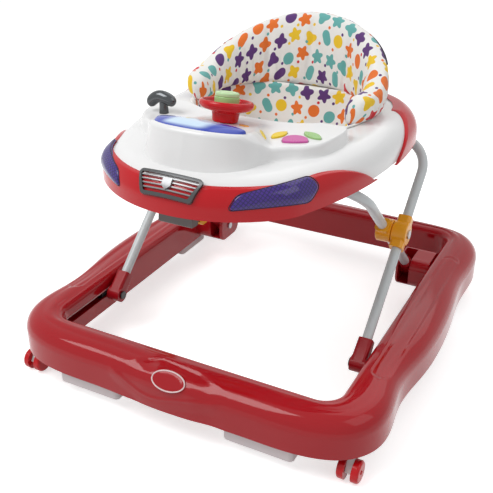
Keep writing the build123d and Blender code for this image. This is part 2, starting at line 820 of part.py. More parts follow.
with BuildPart() as dash_bosses:
    with BuildSketch(Plane.XY.offset(dash_foot)):
        for centre, radius in well_circles:
            with Locations(centre):
                Circle(radius)
        with Locations(gear_ball[:2]):
            Circle(gear_ball_radius + well_wall)
    extrude(amount=pod_rise)
    with Locations(wheel_plane):
        Cylinder(shaft_radius + dash_wall, 2 * shaft_depth + 24)

dash_form = dash_pod.part + dash_wings.part - deck_form
dash_hollow = pod_hollow.part + wing_hollow.part - dash_bosses.part

with BuildPart() as dash_shell:
    add(dash_form)
    add(dash_hollow, mode=Mode.SUBTRACT)
    for shape in button_shapes.values():
        with BuildSketch(Plane.XY.offset(wing_top)):
            add(button_face(*shape, gap))
        extrude(amount=-(button_depth + 0.3), mode=Mode.SUBTRACT)
    with BuildSketch(dash_plane):
        add(screen_face)
    extrude(amount=-screen_seat, mode=Mode.SUBTRACT)
    with Locations(wheel_plane):
        Cylinder(shaft_radius + fit, 2 * shaft_depth, mode=Mode.SUBTRACT)
    with Locations(gear_ball):
        Sphere(gear_ball_radius + gap, mode=Mode.SUBTRACT)
keep(dash_shell, "dash_shell")

with BuildPart() as dash_windscreen:
    with BuildSketch(dash_plane.offset(-screen_seat)):
        add(screen_face)
        offset(amount=-0.2)
    extrude(amount=5)
    fillet(dash_windscreen.faces().sort_by(Axis.Z)[-1].edges(), radius=1.2)
keep(dash_windscreen, "dash_windscreen")

with BuildPart() as steering_wheel:
    with BuildSketch(Plane(origin=wheel_plane.origin, x_dir=(1, 0, 0), z_dir=-wheel_plane.y_dir)):
        with BuildLine():
            Polyline(
                (0, -15), (shaft_radius, -15), (shaft_radius, gap), (18.5, gap), (20.5, 15.5), (32, 18),
            )
            ThreePointArc((32, 18), (40, 23.5), (38.6, 30.5))
            ThreePointArc((38.6, 30.5), (36, 31.6), (33.5, 29))
            Polyline((33.5, 29), (30, 24), (18.6, 22.5), (18.6, 10), (0, 10), (0, -15))
        make_face()
    revolve(axis=Axis(wheel_plane.origin, dash_normal))
keep(steering_wheel, "steering_wheel")

with BuildPart() as horn_button:
    with BuildSketch(wheel_plane.offset(horn_seat)):
        Circle(horn_radius)
    extrude(amount=horn_height)
    fillet(horn_button.edges().sort_by(Axis.Z)[-1], radius=4)
keep(horn_button, "horn_button")

# Gear lever: a ball in the left wing, a short stick and a hooked handle
with BuildPart() as gear_lever:
    with Locations(gear_ball):
        Sphere(gear_ball_radius)
    with BuildSketch(Plane(origin=gear_ball)):
        Circle(stick_radii[0])
    with BuildSketch(Plane(origin=gear_ball).offset(stick_height)):
        Circle(stick_radii[1])
    loft(ruled=True)
    with BuildLine(Plane.XZ.offset(-gear_ball[1])) as hook:
        ThreePointArc((gear_ball[0] + 12, gear_ball[2] + 17), (gear_ball[0] - 3, gear_ball[2] + 23),
                      (gear_ball[0] - 20, gear_ball[2] + 14))
    with BuildSketch(Plane(origin=hook.line @ 0, z_dir=hook.line % 0)):
        Circle(hook_radius)
    sweep(path=hook.line)
    with Locations(hook.line @ 0, hook.line @ 1):
        Sphere(hook_radius)
keep(gear_lever, "gear_lever")

for name, shape in button_shapes.items():
    with BuildPart() as button:
        with BuildSketch(Plane.XY.offset(wing_top - button_travel - 0.2)):
            add(button_face(*shape, 0))
        extrude(amount=button_depth)
        fillet(button.faces().sort_by(Axis.Z)[-1].edges(), radius=1.4)
    keep(button, name)

# Sound module inside the pod, standing on the deck
board_size = (88, 44, 1.6)
board_centre = (-18, -205)
speaker_centre = (50, -206)
cell_radius = 7
cell_length = 50
cell_pitch = 15
with BuildPart() as sound_board:
    with Locations((*board_centre, tray_top + board_size[2] / 2)):
        Box(*board_size)
keep(sound_board, "sound_board")

with BuildPart() as speaker:
    with BuildSketch(Plane.XY.offset(tray_top)):
        with Locations(speaker_centre):
            Circle(19)
    extrude(amount=4)
    with BuildSketch(Plane.XY.offset(tray_top + 4)):
        with Locations(speaker_centre):
            Circle(11)
    extrude(amount=8)
keep(speaker, "speaker")

with BuildPart() as battery_pack:
    for cell in (-1, 0, 1):
        cell_y = board_centre[1] + cell * cell_pitch
        with Locations(across(board_centre[0], cell_y, tray_top + board_size[2] + cell_radius)):
            Cylinder(cell_radius, cell_length)
keep(battery_pack, "battery_pack")

# Padded seat back: a thick cushion bent round the rear of the deck, with sewn channels and round ends
back_axes = (153, 133)
back_centre = 50
back_set = -6
back_lean = 0.1
back_end = 24
back_climb = 98
back_droop = 8
# Stations round the back: angle, thickness of the padding, and share of the full height
back_stations = [
    (-25, 12, 0.55), (-22, 26, 0.9), (-12, 36, 1), (14, 38, 1), (38, 28, 1), (54, 39, 1), (70, 29, 1),
    (90, 40, 1), (110, 29, 1), (126, 39, 1), (142, 28, 1), (166, 38, 1), (192, 36, 1), (202, 26, 0.9),
    (205, 12, 0.55),
]


def back_section(angle, share):
    """Plane and height of one upright section of the seat back."""
    turn = radians(angle)
    climb = sin(turn)
    point = Vector(back_axes[0] * cos(turn), back_centre + back_axes[1] * climb, tray_top)
    outward = Vector(cos(turn) / back_axes[0], climb / back_axes[1], 0).normalized()
    height = back_end + (back_climb * climb**1.25 if climb > 0 else back_droop * climb)
    return Plane(origin=point, x_dir=outward, z_dir=outward.cross(Vector(0, 0, 1))), share * height


with BuildPart() as seat_back:
    for angle, thickness, share in back_stations:
        section_plane, height = back_section(angle, share)
        half = thickness / 2
        edge = 0.3 * thickness
        turn_in = min(0.28 * height, 0.34 * thickness)
        top = back_set + back_lean * height
        middle = (back_set + top) / 2
        low_in = (back_set - edge, turn_in)
        low_out = (back_set + edge, turn_in)
        high_in = (top - edge, height - turn_in)
        high_out = (top + edge, height - turn_in)
        with BuildSketch(section_plane):
            with BuildLine():
                ThreePointArc(low_in, (back_set, 0), low_out)
                ThreePointArc(low_out, (middle + half, height / 2), high_out)
                ThreePointArc(high_out, (top, height), high_in)
                ThreePointArc(high_in, (middle - half, height / 2), low_in)
            make_face()
    loft()
keep(seat_back, "seat_back")

# Seat sling: a fabric bucket hung in the opening, with two leg holes
cloth = 3
sling_levels = [(397, 295.6, 227.6, 107.8), (338, 262, 204, 96), (286, 214, 178, 84), (256, 150, 138, 66)]
leg_hole_radii = (42, 47)
leg_hole_centre = (62, -30, 296)
leg_hole_aim = (0.35, -1, -0.35)


def sling_form(inset):
    """Bucket of the seat, drawn in by the thickness of its cloth."""
    with BuildPart() as bucket:
        for level, width, length, corner in sling_levels:
            with BuildSketch(Plane.XY.offset(level + inset)):
                with Locations((0, opening_centre)):
                    RectangleRounded(width - 2 * inset, length - 2 * inset, corner - inset)
        loft()
    return bucket.part


sling_outside = sling_form(0)
sling_inside = sling_form(cloth)
with BuildPart() as seat_sling:
    add(sling_outside)
    add(sling_inside, mode=Mode.SUBTRACT)
    for side in sides:
        hole_origin = (side * leg_hole_centre[0], *leg_hole_centre[1:])
        hole_aim = (side * leg_hole_aim[0], *leg_hole_aim[1:])
        with BuildSketch(Plane(origin=hole_origin, x_dir=(1, 0, 0), z_dir=hole_aim)):
            Ellipse(*leg_hole_radii)
        extrude(amount=90, mode=Mode.SUBTRACT)
keep(seat_sling, "seat_sling")

with BuildPart() as seat_board:
    with BuildSketch(Plane.XY.offset(256 + cloth)):
        with Locations((0, opening_centre + 8)):
            RectangleRounded(104, 84, 30)
    extrude(amount=3)
keep(seat_board, "seat_board")
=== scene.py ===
"""Looks of the folding baby walker: smooth mouldings, tubes, padded seat, finishes, light and camera."""

import logging
import math
from dataclasses import dataclass, field
from enum import Enum
from typing import Callable, Sequence

import bmesh
import bpy
import numpy as np
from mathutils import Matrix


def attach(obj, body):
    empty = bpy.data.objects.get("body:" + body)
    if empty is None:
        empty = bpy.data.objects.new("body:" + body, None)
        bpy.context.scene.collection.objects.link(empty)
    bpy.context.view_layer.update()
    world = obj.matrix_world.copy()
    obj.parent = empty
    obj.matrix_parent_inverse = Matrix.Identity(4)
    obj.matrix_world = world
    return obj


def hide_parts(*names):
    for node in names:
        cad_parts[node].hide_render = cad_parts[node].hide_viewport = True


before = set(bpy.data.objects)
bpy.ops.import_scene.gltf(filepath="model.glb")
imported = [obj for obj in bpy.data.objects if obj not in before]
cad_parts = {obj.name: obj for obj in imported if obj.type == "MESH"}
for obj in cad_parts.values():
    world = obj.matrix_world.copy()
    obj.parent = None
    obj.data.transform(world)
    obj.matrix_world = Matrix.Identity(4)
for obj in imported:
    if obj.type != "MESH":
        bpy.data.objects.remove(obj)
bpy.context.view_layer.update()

MM = 0.001
Array = np.ndarray
Pair = tuple[float, float]
Pairs = tuple[Pair, ...]
Triple = tuple[float, float, float]
Object = bpy.types.Object
Node = bpy.types.Node
Tree = bpy.types.NodeTree
Socket = bpy.types.NodeSocket
Value = Socket | float | tuple
Inputs = dict[str | int, Value]
Sockets = bpy.types.bpy_prop_collection

log = logging.getLogger("walker")


# Curves


def smooth(low: Array | float, high: Array | float, value: Array) -> Array:
    """Smooth step from 0 where value is at low to 1 where it is at high."""
    t = np.clip((value - low) / (high - low), 0.0, 1.0)
    return t * t * (3.0 - 2.0 * t)


def band(value: Array, edges: Pairs, line: Array | float = 0.0) -> Array:
    """Product of two smooth steps, whose edges are counted from a line."""
    first, second = (smooth(line + low, line + high, value) for low, high in edges)
    return first * second


def bell(offset: Array, width: float) -> Array:
    """Bell curve: 1 at offset 0, falling as exp(-(offset / width) ** 2)."""
    return np.exp(-((offset / width) ** 2))


def unit(vectors: Array) -> Array:
    """Vectors scaled to length 1 along the last axis."""
    return vectors / np.linalg.norm(vectors, axis=-1, keepdims=True)


def on_circle(angle: Array | float) -> Array:
    """Points of the unit circle at angles in radians, with X and Y on a new last axis."""
    return np.stack([np.cos(angle), np.sin(angle)], -1)


def whole_turn(count: int) -> Array:
    """Angles of a whole turn, without the end that repeats its start."""
    return np.linspace(0, 2 * np.pi, count, endpoint=False)


def quarter_turn(count: int) -> Array:
    """Angles of a quarter turn, with both ends."""
    return np.linspace(0, np.pi / 2, count)


def turned(flat: Array, degrees: float) -> Array:
    """Flat points turned anticlockwise about the origin."""
    c, s = on_circle(np.radians(degrees))
    return flat @ np.array([[c, s], [-s, c]])


def mirrored(half: Array) -> Array:
    """Right half of an outline, followed by its mirror image in the Y axis, walked back."""
    return np.concatenate([half, (half * np.array([-1, 1]))[::-1]])


def with_height(flat: Array, z: Array | float) -> Array:
    """Points of a plane curve lifted to a height, as 3-D points."""
    return np.concatenate([flat, np.broadcast_to(np.asarray(z, float), flat.shape[:1])[:, None]], 1)


def lifted(columns: Sequence[tuple[Array, Array | float]]) -> Array:
    """Grid of plane curves, each lifted to its height, of shape (points, curves, 3)."""
    return np.stack([with_height(flat, z) for flat, z in columns], 1)


def walked(points: Array) -> Array:
    """Length of a path from its start to each point, along the first axis."""
    steps = np.linalg.norm(np.diff(points, axis=0), axis=-1)
    return np.concatenate([np.zeros_like(steps[:1]), np.cumsum(steps, 0)])


def ring_spline(points: Array, samples: int) -> Array:
    """Closed cubic spline through points, with equal curvature on both sides of each point.

    Args:
        points: Points in order round the ring, of shape (n, 2).
        samples: Number of points to return.

    Returns:
        Points on the ring, of shape (samples, 2).
    """
    count = len(points)
    after = np.roll(points, -1, 0)
    step = np.linalg.norm(after - points, axis=1)
    before = np.roll(step, 1)
    index = np.arange(count)
    system = np.diag(2 * (before + step))
    system[index, index - 1] += before
    system[index, (index + 1) % count] += step
    slope = (after - points) / step[:, None]
    bend = np.linalg.solve(system, 6 * (slope - np.roll(slope, 1, 0)))
    ends = np.concatenate([[0.0], np.cumsum(step)])
    at = np.linspace(0, ends[-1], samples, endpoint=False)
    k = np.clip(np.searchsorted(ends, at, side="right") - 1, 0, count - 1)
    h = step[k][:, None]
    a = (ends[k + 1] - at)[:, None] / h
    b = 1 - a
    curve = (a**3 - a) * bend[k] + (b**3 - b) * np.roll(bend, -1, 0)[k]
    return a * points[k] + b * after[k] + curve * h**2 / 6


def smooth_line(points: Array, at: Array, knots: Array | None = None) -> Array:
    """Open curve through points, by cubic pieces that share their slopes.

    Args:
        points: Points to pass through, of shape (n, k).
        at: Parameters to return.
        knots: Parameter of each point; even steps from 0 to 1 if not given.

    Returns:
        Points on the curve, of shape (len(at), k).
    """
    points = np.asarray(points, float)
    if knots is None:
        knots = np.linspace(0, 1, len(points))
    slope = np.gradient(points, knots, axis=0)
    k = np.clip(np.searchsorted(knots, at, side="right") - 1, 0, len(knots) - 2)
    h = (knots[k + 1] - knots[k])[:, None]
    t = (at - knots[k])[:, None] / h
    place_part = (1 + 2 * t) * (1 - t) ** 2 * points[k] + t**2 * (3 - 2 * t) * points[k + 1]
    slope_part = t * (1 - t) ** 2 * slope[k] + t**2 * (t - 1) * slope[k + 1]
    return place_part + slope_part * h


def even_ring(points: Array, samples: int) -> Array:
    """Closed polyline walked at an even pace.

    Args:
        points: Corners of the polyline, of shape (n, k).
        samples: Number of points to return.

    Returns:
        Points on the ring, of shape (samples, k).
    """
    closed = np.concatenate([points, points[:1]])
    ends = walked(closed)
    at = np.linspace(0, ends[-1], samples, endpoint=False)
    return np.stack([np.interp(at, ends, values) for values in closed.T], -1)


def rounded_box(width: float, length: float, corner: float, centre: Pair, samples: int) -> Array:
    """Rectangle with round corners, walked at an even pace from the middle of its +X side.

    Args:
        width: Size along X.
        length: Size along Y.
        corner: Corner radius.
        centre: Middle of the rectangle.
        samples: Number of points to return.

    Returns:
        Points on the outline, of shape (samples, 2).
    """
    turn, reach = quarter_turn(24), np.array([width, length]) / 2 - corner
    signs = ((1, 1), (-1, 1), (-1, -1), (1, -1))
    arcs = [reach * sign + corner * on_circle(turn + k * np.pi / 2) for k, sign in enumerate(signs)]
    return even_ring(np.concatenate(arcs) + np.array(centre), samples)


def soften(corners: Array, cut: Array | float, count: int) -> Array:
    """Polygon whose corners become parabolas between their two tangent points.

    Args:
        corners: Corners in order, of shape (n, 2).
        cut: Length cut from each side at a corner, one for all or of shape (n, 1).
        count: Number of points on each parabola.

    Returns:
        Points on the outline, of shape (n * count, 2).
    """
    start, end = (corners + unit(np.roll(corners, k, 0) - corners) * cut for k in (1, -1))
    t = np.linspace(0, 1, count)[:, None]
    bends = (1 - t) ** 2 * start[:, None] + 2 * t * (1 - t) * corners[:, None] + t**2 * end[:, None]
    return bends.reshape(-1, 2)


def bow(half: float, rise: float, count: int) -> Array:
    """Arc over a chord on the X axis, from its right end to its left end.

    Args:
        half: Half the chord.
        rise: Height of the arc over the chord.
        count: Number of points.

    Returns:
        Points, of shape (count, 2).
    """
    radius = (half**2 + rise**2) / (2 * rise)
    start = math.atan2(radius - rise, half)
    return radius * on_circle(np.linspace(start, math.pi - start, count)) + [0, rise - radius]


def arc_through(a: Pair, b: Pair, c: Pair) -> Callable[[Array], Array]:
    """Upper arc of the circle through three points, as a height for each place.

    Args:
        a: First point.
        b: Second point.
        c: Third point.

    Returns:
        Function from place to height.
    """
    first, others = np.array(a), np.array([b, c])
    known = (others**2).sum(1) - first @ first
    centre = np.linalg.solve(2 * (others - first), known)
    radius = np.linalg.norm(first - centre)

    def height(y: Array) -> Array:
        """Height of the arc over a place."""
        return centre[1] + np.sqrt(np.maximum(radius**2 - (y - centre[0]) ** 2, 0))

    return height


def outward(curve: Array) -> Array:
    """Unit normals out of a closed curve that runs anticlockwise, of its own shape (n, 2)."""
    along = np.roll(curve, -1, 0) - np.roll(curve, 1, 0)
    return unit(np.stack([along[:, 1], -along[:, 0]], -1))


def by_angle(curve: Array, centre: Pair, angles: Array) -> tuple[Array, Array]:
    """Points of a closed curve in each direction from a centre inside it, and the normals there.

    Args:
        curve: Points that run anticlockwise, of shape (n, 2).
        centre: Point that sees the whole curve.
        angles: Directions, in radians.

    Returns:
        Points, and unit normals out of the curve, each of shape (len(angles), 2).
    """
    offset = curve - np.array(centre)
    turn = np.arctan2(offset[:, 1], offset[:, 0])
    order = np.argsort(turn)
    values = np.concatenate([curve, outward(curve)], 1)[order].T
    found = np.stack([np.interp(angles, turn[order], value, period=2 * np.pi) for value in values], -1)
    return found[:, :2], unit(found[:, 2:])


# Surfaces


def surface(
    name: str,
    points: Array,
    close_u: bool = False,
    close_v: bool = False,
    uv: Array | None = None,
    sharp: float = 40.0,
    cap_u: bool = False,
) -> Object:
    """Mesh object from a grid of points: one quad for each cell, smooth except at sharp edges.

    Args:
        name: Name of the piece.
        points: Grid of points in millimetres, of shape (rows, columns, 3).
        close_u: Joins the last row to the first.
        close_v: Joins the last column to the first.
        uv: Grid of UV values, with one more row or column than points where it is closed.
        sharp: Angle in degrees past which an edge is drawn sharp.
        cap_u: Closes the first and last row of a tube with one face each.

    Returns:
        The new object, linked to the scene.
    """
    rows, cols = points.shape[:2]
    a, b = np.meshgrid(
        np.arange(rows if close_u else rows - 1), np.arange(cols if close_v else cols - 1), indexing="ij"
    )
    corners = [(a, b), (a + 1, b), (a + 1, b + 1), (a, b + 1)]
    faces = np.stack([(p % rows) * cols + q % cols for p, q in corners], -1).reshape(-1, 4).tolist()
    if cap_u:
        faces.append(list(range(cols))[::-1])
        faces.append(list(range((rows - 1) * cols, rows * cols)))
    mesh = bpy.data.meshes.new(name)
    mesh.from_pydata((points.reshape(-1, 3) * MM).tolist(), [], faces)
    if uv is not None:
        loops = np.stack([uv[p, q] for p, q in corners], -2).reshape(-1, 2)
        values = np.zeros((len(mesh.loops), 2))
        values[: len(loops)] = loops
        mesh.uv_layers.new(name="cloth").data.foreach_set("uv", values.ravel().tolist())
    joined = bmesh.new()
    joined.from_mesh(mesh)
    bmesh.ops.remove_doubles(joined, verts=joined.verts, dist=1e-6)
    bmesh.ops.recalc_face_normals(joined, faces=joined.faces)
    joined.to_mesh(mesh)
    joined.free()
    mesh.shade_smooth()
    mesh.set_sharp_from_angle(angle=math.radians(sharp))
    piece = bpy.data.objects.new(name, mesh)
    bpy.context.scene.collection.objects.link(piece)
    return piece


def tube(name: str, path: Array, radius: Array | float, sides: int = 28, closed: bool = False) -> Object:
    """Round tube: a circle carried along a path, turned as little as possible from point to point.

    Args:
        name: Name of the piece.
        path: Points in millimetres, of shape (n, 3).
        radius: One radius, or one for each point.
        sides: Number of points round the circle.
        closed: Joins the end of the path to its start.

    Returns:
        The new object.
    """
    ahead = np.roll(path, -1, 0) - np.roll(path, 1, 0)
    if not closed:
        ahead[0] = path[1] - path[0]
        ahead[-1] = path[-1] - path[-2]
    ahead = unit(ahead)
    across = np.zeros_like(path)
    side = np.cross(ahead[0], np.eye(3)[np.argmin(np.abs(ahead[0]))])
    for k, direction in enumerate(ahead):
        side = unit(side - direction * (side @ direction))
        across[k] = side
    spokes = on_circle(whole_turn(sides))
    ring = across[:, None] * spokes[:, :1] + np.cross(ahead, across)[:, None] * spokes[:, 1:]
    wide = np.broadcast_to(np.asarray(radius, float), (len(path),))[:, None, None]
    return surface(name, path[:, None] + wide * ring, close_u=closed, close_v=True, cap_u=not closed)


def lathe(
    name: str, profile: Pairs, origin: Array, axis: Array, sides: int = 72, rounding: float = 0.8
) -> Object:
    """Turned piece: a profile of radius and height spun round an axis, its corners softened.

    Args:
        name: Name of the piece.
        profile: Closed profile as pairs of radius and height along the axis.
        origin: Point on the axis at height 0.
        axis: Direction of the axis, of length 1.
        sides: Number of points round the axis.
        rounding: Length cut from each corner of the profile.

    Returns:
        The new object.
    """
    corners = np.array(profile, float)
    lengths = [np.linalg.norm(np.roll(corners, k, 0) - corners, axis=1) for k in (1, -1)]
    cut = np.minimum(rounding, np.minimum(*lengths) / 2)
    line = soften(corners, np.where(corners[:, 0] < 1e-6, 0.0, cut)[:, None], 5)
    first = unit(np.cross(axis, np.eye(3)[np.argmin(np.abs(axis))]))
    ring = on_circle(whole_turn(sides)) @ np.stack([first, np.cross(axis, first)])
    points = origin + line[None, :, 1:] * axis + line[None, :, :1] * ring[:, None]
    return surface(name, points, close_u=True, close_v=True)


def grid_normals(points: Array) -> Array:
    """Unit normals of a grid that is closed both ways, of the grid's shape."""
    u, v = (np.roll(points, -1, axis) - np.roll(points, 1, axis) for axis in (0, 1))
    return unit(np.cross(u, v))


# Shader node helpers


class Wiring:
    """Short way to add and link nodes in one node tree."""

    def __init__(self, tree: Tree) -> None:
        """Keep the tree that nodes go into."""
        self.tree = tree

    def fill(self, node: Node, inputs: Inputs) -> None:
        """Fill inputs of a node with values or links.

        Args:
            node: Node in the tree.
            inputs: Values or output sockets, by input name or number.
        """
        for key, value in inputs.items():
            if isinstance(value, Socket):
                self.tree.links.new(value, node.inputs[key])
            else:
                node.inputs[key].default_value = value

    def node(self, kind: str, inputs: Inputs | None = None, **settings: object) -> Node:
        """Add a node, set its properties and fill its inputs.

        Args:
            kind: Blender's name of the node type, after ShaderNode.
            inputs: Values or output sockets, by input name or number.
            **settings: Properties of the node.

        Returns:
            The new node.
        """
        made = self.tree.nodes.new("ShaderNode" + kind)
        for key, value in settings.items():
            setattr(made, key, value)
        self.fill(made, inputs or {})
        return made

    def math(self, operation: str, a: Value, b: Value = 0.0, c: Value = 0.0) -> Socket:
        """Output of a Math node on up to three values or sockets."""
        return self.node("Math", {0: a, 1: b, 2: c}, operation=operation).outputs[0]

    def mix(self, factor: Value, a: Value, b: Value) -> Socket:
        """Colour between a and b."""
        return self.node("Mix", {0: factor, 6: a, 7: b}, data_type="RGBA").outputs[2]

    def ramp(self, value: Value, low: float, high: float, kind: str = "SMOOTHSTEP") -> Socket:
        """Value mapped from the range between low and high to that from 0 to 1."""
        ends = {"Value": value, "From Min": low, "From Max": high}
        return self.node("MapRange", ends, interpolation_type=kind).outputs[0]

    def split(self, vector: Value) -> Sockets:
        """The X, Y and Z outputs of a vector."""
        return self.node("SeparateXYZ", {0: vector}).outputs

    def cloth_place(self) -> Socket:
        """The piece's UV map, in metres on cloth and lenses."""
        return self.node("UVMap", uv_map="cloth").outputs[0]


def new_group(name: str, inputs: dict[str, str], outputs: dict[str, str]) -> tuple[Wiring, Sockets, Node]:
    """Empty shader node group with named sockets.

    Args:
        name: Name of the group.
        inputs: Type of each input socket, by name.
        outputs: Type of each output socket, by name.

    Returns:
        The group's Wiring, the values given to it and its output node.
    """
    group = bpy.data.node_groups.new(name, "ShaderNodeTree")
    for way, sockets in (("INPUT", inputs), ("OUTPUT", outputs)):
        for socket, kind in sockets.items():
            group.interface.new_socket(socket, in_out=way, socket_type="NodeSocket" + kind)
    given = group.nodes.new("NodeGroupInput").outputs
    return Wiring(group), given, group.nodes.new("NodeGroupOutput")


def moulding_group() -> Tree:
    """Moulded plastic: faint flow marks in the colour, uneven gloss and a fine skin."""
    w, given, out = new_group(
        Effects.SKIN.value,
        {"Vector": "Vector", "Colour": "Color", "Roughness": "Float", "Grain": "Float"},
        {"Colour": "Color", "Roughness": "Float", "Height": "Float"},
    )
    at, colour = given["Vector"], given["Colour"]
    flow = w.node("TexNoise", {"Vector": at, "Scale": 9.0, "Detail": 3.0}).outputs["Fac"]
    skin = w.node("TexNoise", {"Vector": at, "Scale": given["Grain"], "Detail": 2.0}).outputs["Fac"]
    darker = w.node("HueSaturation", {"Value": 0.9, "Color": colour}).outputs[0]
    uneven = w.math("ADD", given["Roughness"], w.math("MULTIPLY_ADD", flow, 0.12, -0.06))
    rough = w.math("ADD", uneven, w.math("MULTIPLY_ADD", skin, 0.06, -0.03))
    shade = w.mix(w.math("MULTIPLY", flow, 0.5), colour, darker)
    w.fill(out, {"Colour": shade, "Roughness": rough, "Height": skin})
    return w.tree


def weave_group() -> Tree:
    """Plain weave: warp and weft threads that pass over and under each other."""
    w, given, out = new_group(
        Effects.WEAVE.value, {"Vector": "Vector", "Thread": "Float"}, {"Height": "Float"}
    )
    turn = w.math("DIVIDE", math.pi, given["Thread"])
    warp, weft = (w.math("SINE", w.math("MULTIPLY", axis, turn)) for axis in w.split(given["Vector"])[:2])
    w.fill(out, {"Height": w.math("MULTIPLY_ADD", w.math("MULTIPLY", warp, weft), 0.5, 0.5)})
    return w.tree


PRINT_COLOURS: dict[float, Triple] = {
    0.0: (0.86, 0.56, 0.02),
    0.2: (0.80, 0.17, 0.02),
    0.42: (0.10, 0.03, 0.17),
    0.62: (0.13, 0.42, 0.40),
    0.8: (0.62, 0.02, 0.03),
}


def print_group() -> Tree:
    """Printed cloth: one lobed motif in each cell of a staggered grid, and small dots between them.

    A motif's edge lies at radius * (1 + depth * cos(lobes * angle)), so the lobe count alone makes
    discs, drops, beans, trefoils, clovers and flowers. Each cell draws its lobes, turn and colour.
    """
    w, given, out = new_group(
        Effects.PRINT.value, {"Vector": "Vector", "Pitch": "Float", "Ground": "Color"}, {"Colour": "Color"}
    )
    colour = given["Ground"]
    lobe_depth, edge_blur = 0.24, 0.012
    for shift, size, lobed in ((0.0, 0.34, True), (0.5, 0.085, False)):
        moved = w.node("VectorMath", {0: given["Vector"], 1: (shift, shift, 0)}, operation="ADD")
        across, along = (w.math("DIVIDE", axis, given["Pitch"]) for axis in w.split(moved.outputs[0])[:2])
        tall = w.math("ADD", along, shift)
        row = w.math("FLOOR", tall)
        wide = w.math("ADD", across, w.math("MULTIPLY", w.math("FLOORED_MODULO", row, 2.0), 0.5))
        cell = w.node("CombineXYZ", {0: w.math("FLOOR", wide), 1: row, 2: shift}).outputs[0]
        chance = w.node("TexWhiteNoise", {"Vector": cell}, noise_dimensions="3D").outputs
        draw = w.node("SeparateColor", {0: chance["Color"]}).outputs
        x, y = (
            w.math("ADD", w.math("FRACT", spot), w.math("MULTIPLY_ADD", luck, 0.2, -0.6))
            for spot, luck in ((wide, draw[0]), (tall, draw[1]))
        )
        reach = w.math("SQRT", w.math("ADD", w.math("MULTIPLY", x, x), w.math("MULTIPLY", y, y)))
        edge = size
        if lobed:
            lobes = w.math("FLOOR", w.math("MULTIPLY_ADD", draw[2], 5.0, 1.0))
            angle = w.math("ADD", w.math("ARCTAN2", y, x), w.math("MULTIPLY", draw[0], 2 * math.pi))
            wave = w.math("COSINE", w.math("MULTIPLY", angle, lobes))
            edge = w.math("MULTIPLY_ADD", wave, size * lobe_depth, size)
        inside = w.ramp(w.math("SUBTRACT", edge, reach), -edge_blur, edge_blur)
        ink = w.node("ValToRGB", {0: chance["Value"]})
        stops = ink.color_ramp.elements
        ink.color_ramp.interpolation = "CONSTANT"
        for start, shade in PRINT_COLOURS.items():
            stop = stops.new(start) if start else stops[0]
            stop.color = (*shade, 1)
        stops.remove(stops[-1])
        colour = w.mix(inside, colour, ink.outputs[0])
    w.fill(out, {"Colour": colour})
    return w.tree


class Effects(Enum):
    """Shared surface effects, by the name of their node group."""

    SKIN = "moulded_skin"
    WEAVE = "plain_weave"
    PRINT = "motif_print"

    def group(self) -> Tree:
        """The effect's node group, built on first use."""
        made = bpy.data.node_groups.get(self.value)
        builders = {Effects.SKIN: moulding_group, Effects.WEAVE: weave_group, Effects.PRINT: print_group}
        return made or builders[self]()


# Finishes


def new_material(name: str) -> tuple[bpy.types.Material, Wiring, Node]:
    """Empty material with a Principled shader.

    Args:
        name: Name of the material.

    Returns:
        The material, the Wiring of its tree and its shader node.
    """
    material = bpy.data.materials.new(name)
    material.use_nodes = True
    return material, Wiring(material.node_tree), material.node_tree.nodes["Principled BSDF"]


@dataclass(frozen=True)
class Finish:
    """Named finish with a main colour. Each kind of finish wires its own shader."""

    name: str
    colour: Triple

    def material(self) -> bpy.types.Material:
        """The finish as a material, made once."""
        name = "look_" + self.name
        material = bpy.data.materials.get(name)
        if material is None:
            material, w, shader = new_material(name)
            w.fill(shader, self.looks(w))
        return material

    def looks(self, w: Wiring) -> Inputs:
        """Inputs of the shader, made with the material's Wiring."""
        return {"Base Color": (*self.colour, 1)}


@dataclass(frozen=True)
class Plastic(Finish):
    """Moulded plastic or painted metal with a fine skin."""

    roughness: float = 0.22
    grain: float = 420.0
    bump: float = 0.00003
    metallic: float = 0.0
    specular: float = 0.5

    def looks(self, w: Wiring) -> Inputs:
        """Colour, gloss and height of the moulded skin.

        Args:
            w: Wiring of the material.

        Returns:
            Inputs of the shader.
        """
        given = {
            "Vector": w.node("TexCoord").outputs["Object"],
            "Colour": (*self.colour, 1),
            "Roughness": self.roughness,
            "Grain": self.grain,
        }
        skin = w.node("Group", given, node_tree=Effects.SKIN.group()).outputs
        bump = w.node("Bump", {"Height": skin["Height"], "Distance": self.bump, "Strength": 1.0})
        return {
            "Base Color": skin["Colour"],
            "Roughness": skin["Roughness"],
            "Normal": bump.outputs[0],
            "Metallic": self.metallic,
            "Specular IOR Level": self.specular,
        }


@dataclass(frozen=True)
class MeshLens(Finish):
    """Tinted lens with a fine square mesh behind its face."""

    line: Triple
    pitch: float = 4.4

    def looks(self, w: Wiring) -> Inputs:
        """Two sets of slanted lines over the tint, on the piece's UV map.

        Args:
            w: Wiring of the material.

        Returns:
            Inputs of the shader.
        """
        x, y, _ = w.split(w.cloth_place())
        turn = 2 * math.pi / (self.pitch * MM * 1.41)
        slants = (w.math("MULTIPLY_ADD", y, sign, x) for sign in (1.0, -1.0))
        waves = [w.math("SINE", w.math("MULTIPLY", slant, turn)) for slant in slants]
        ridge = w.ramp(w.math("MAXIMUM", *waves), 0.45, 0.95, "LINEAR")
        tint = w.mix(ridge, (*self.colour, 1), (*self.line, 1))
        return {"Base Color": tint, "Roughness": 0.09, "Specular IOR Level": 0.45}


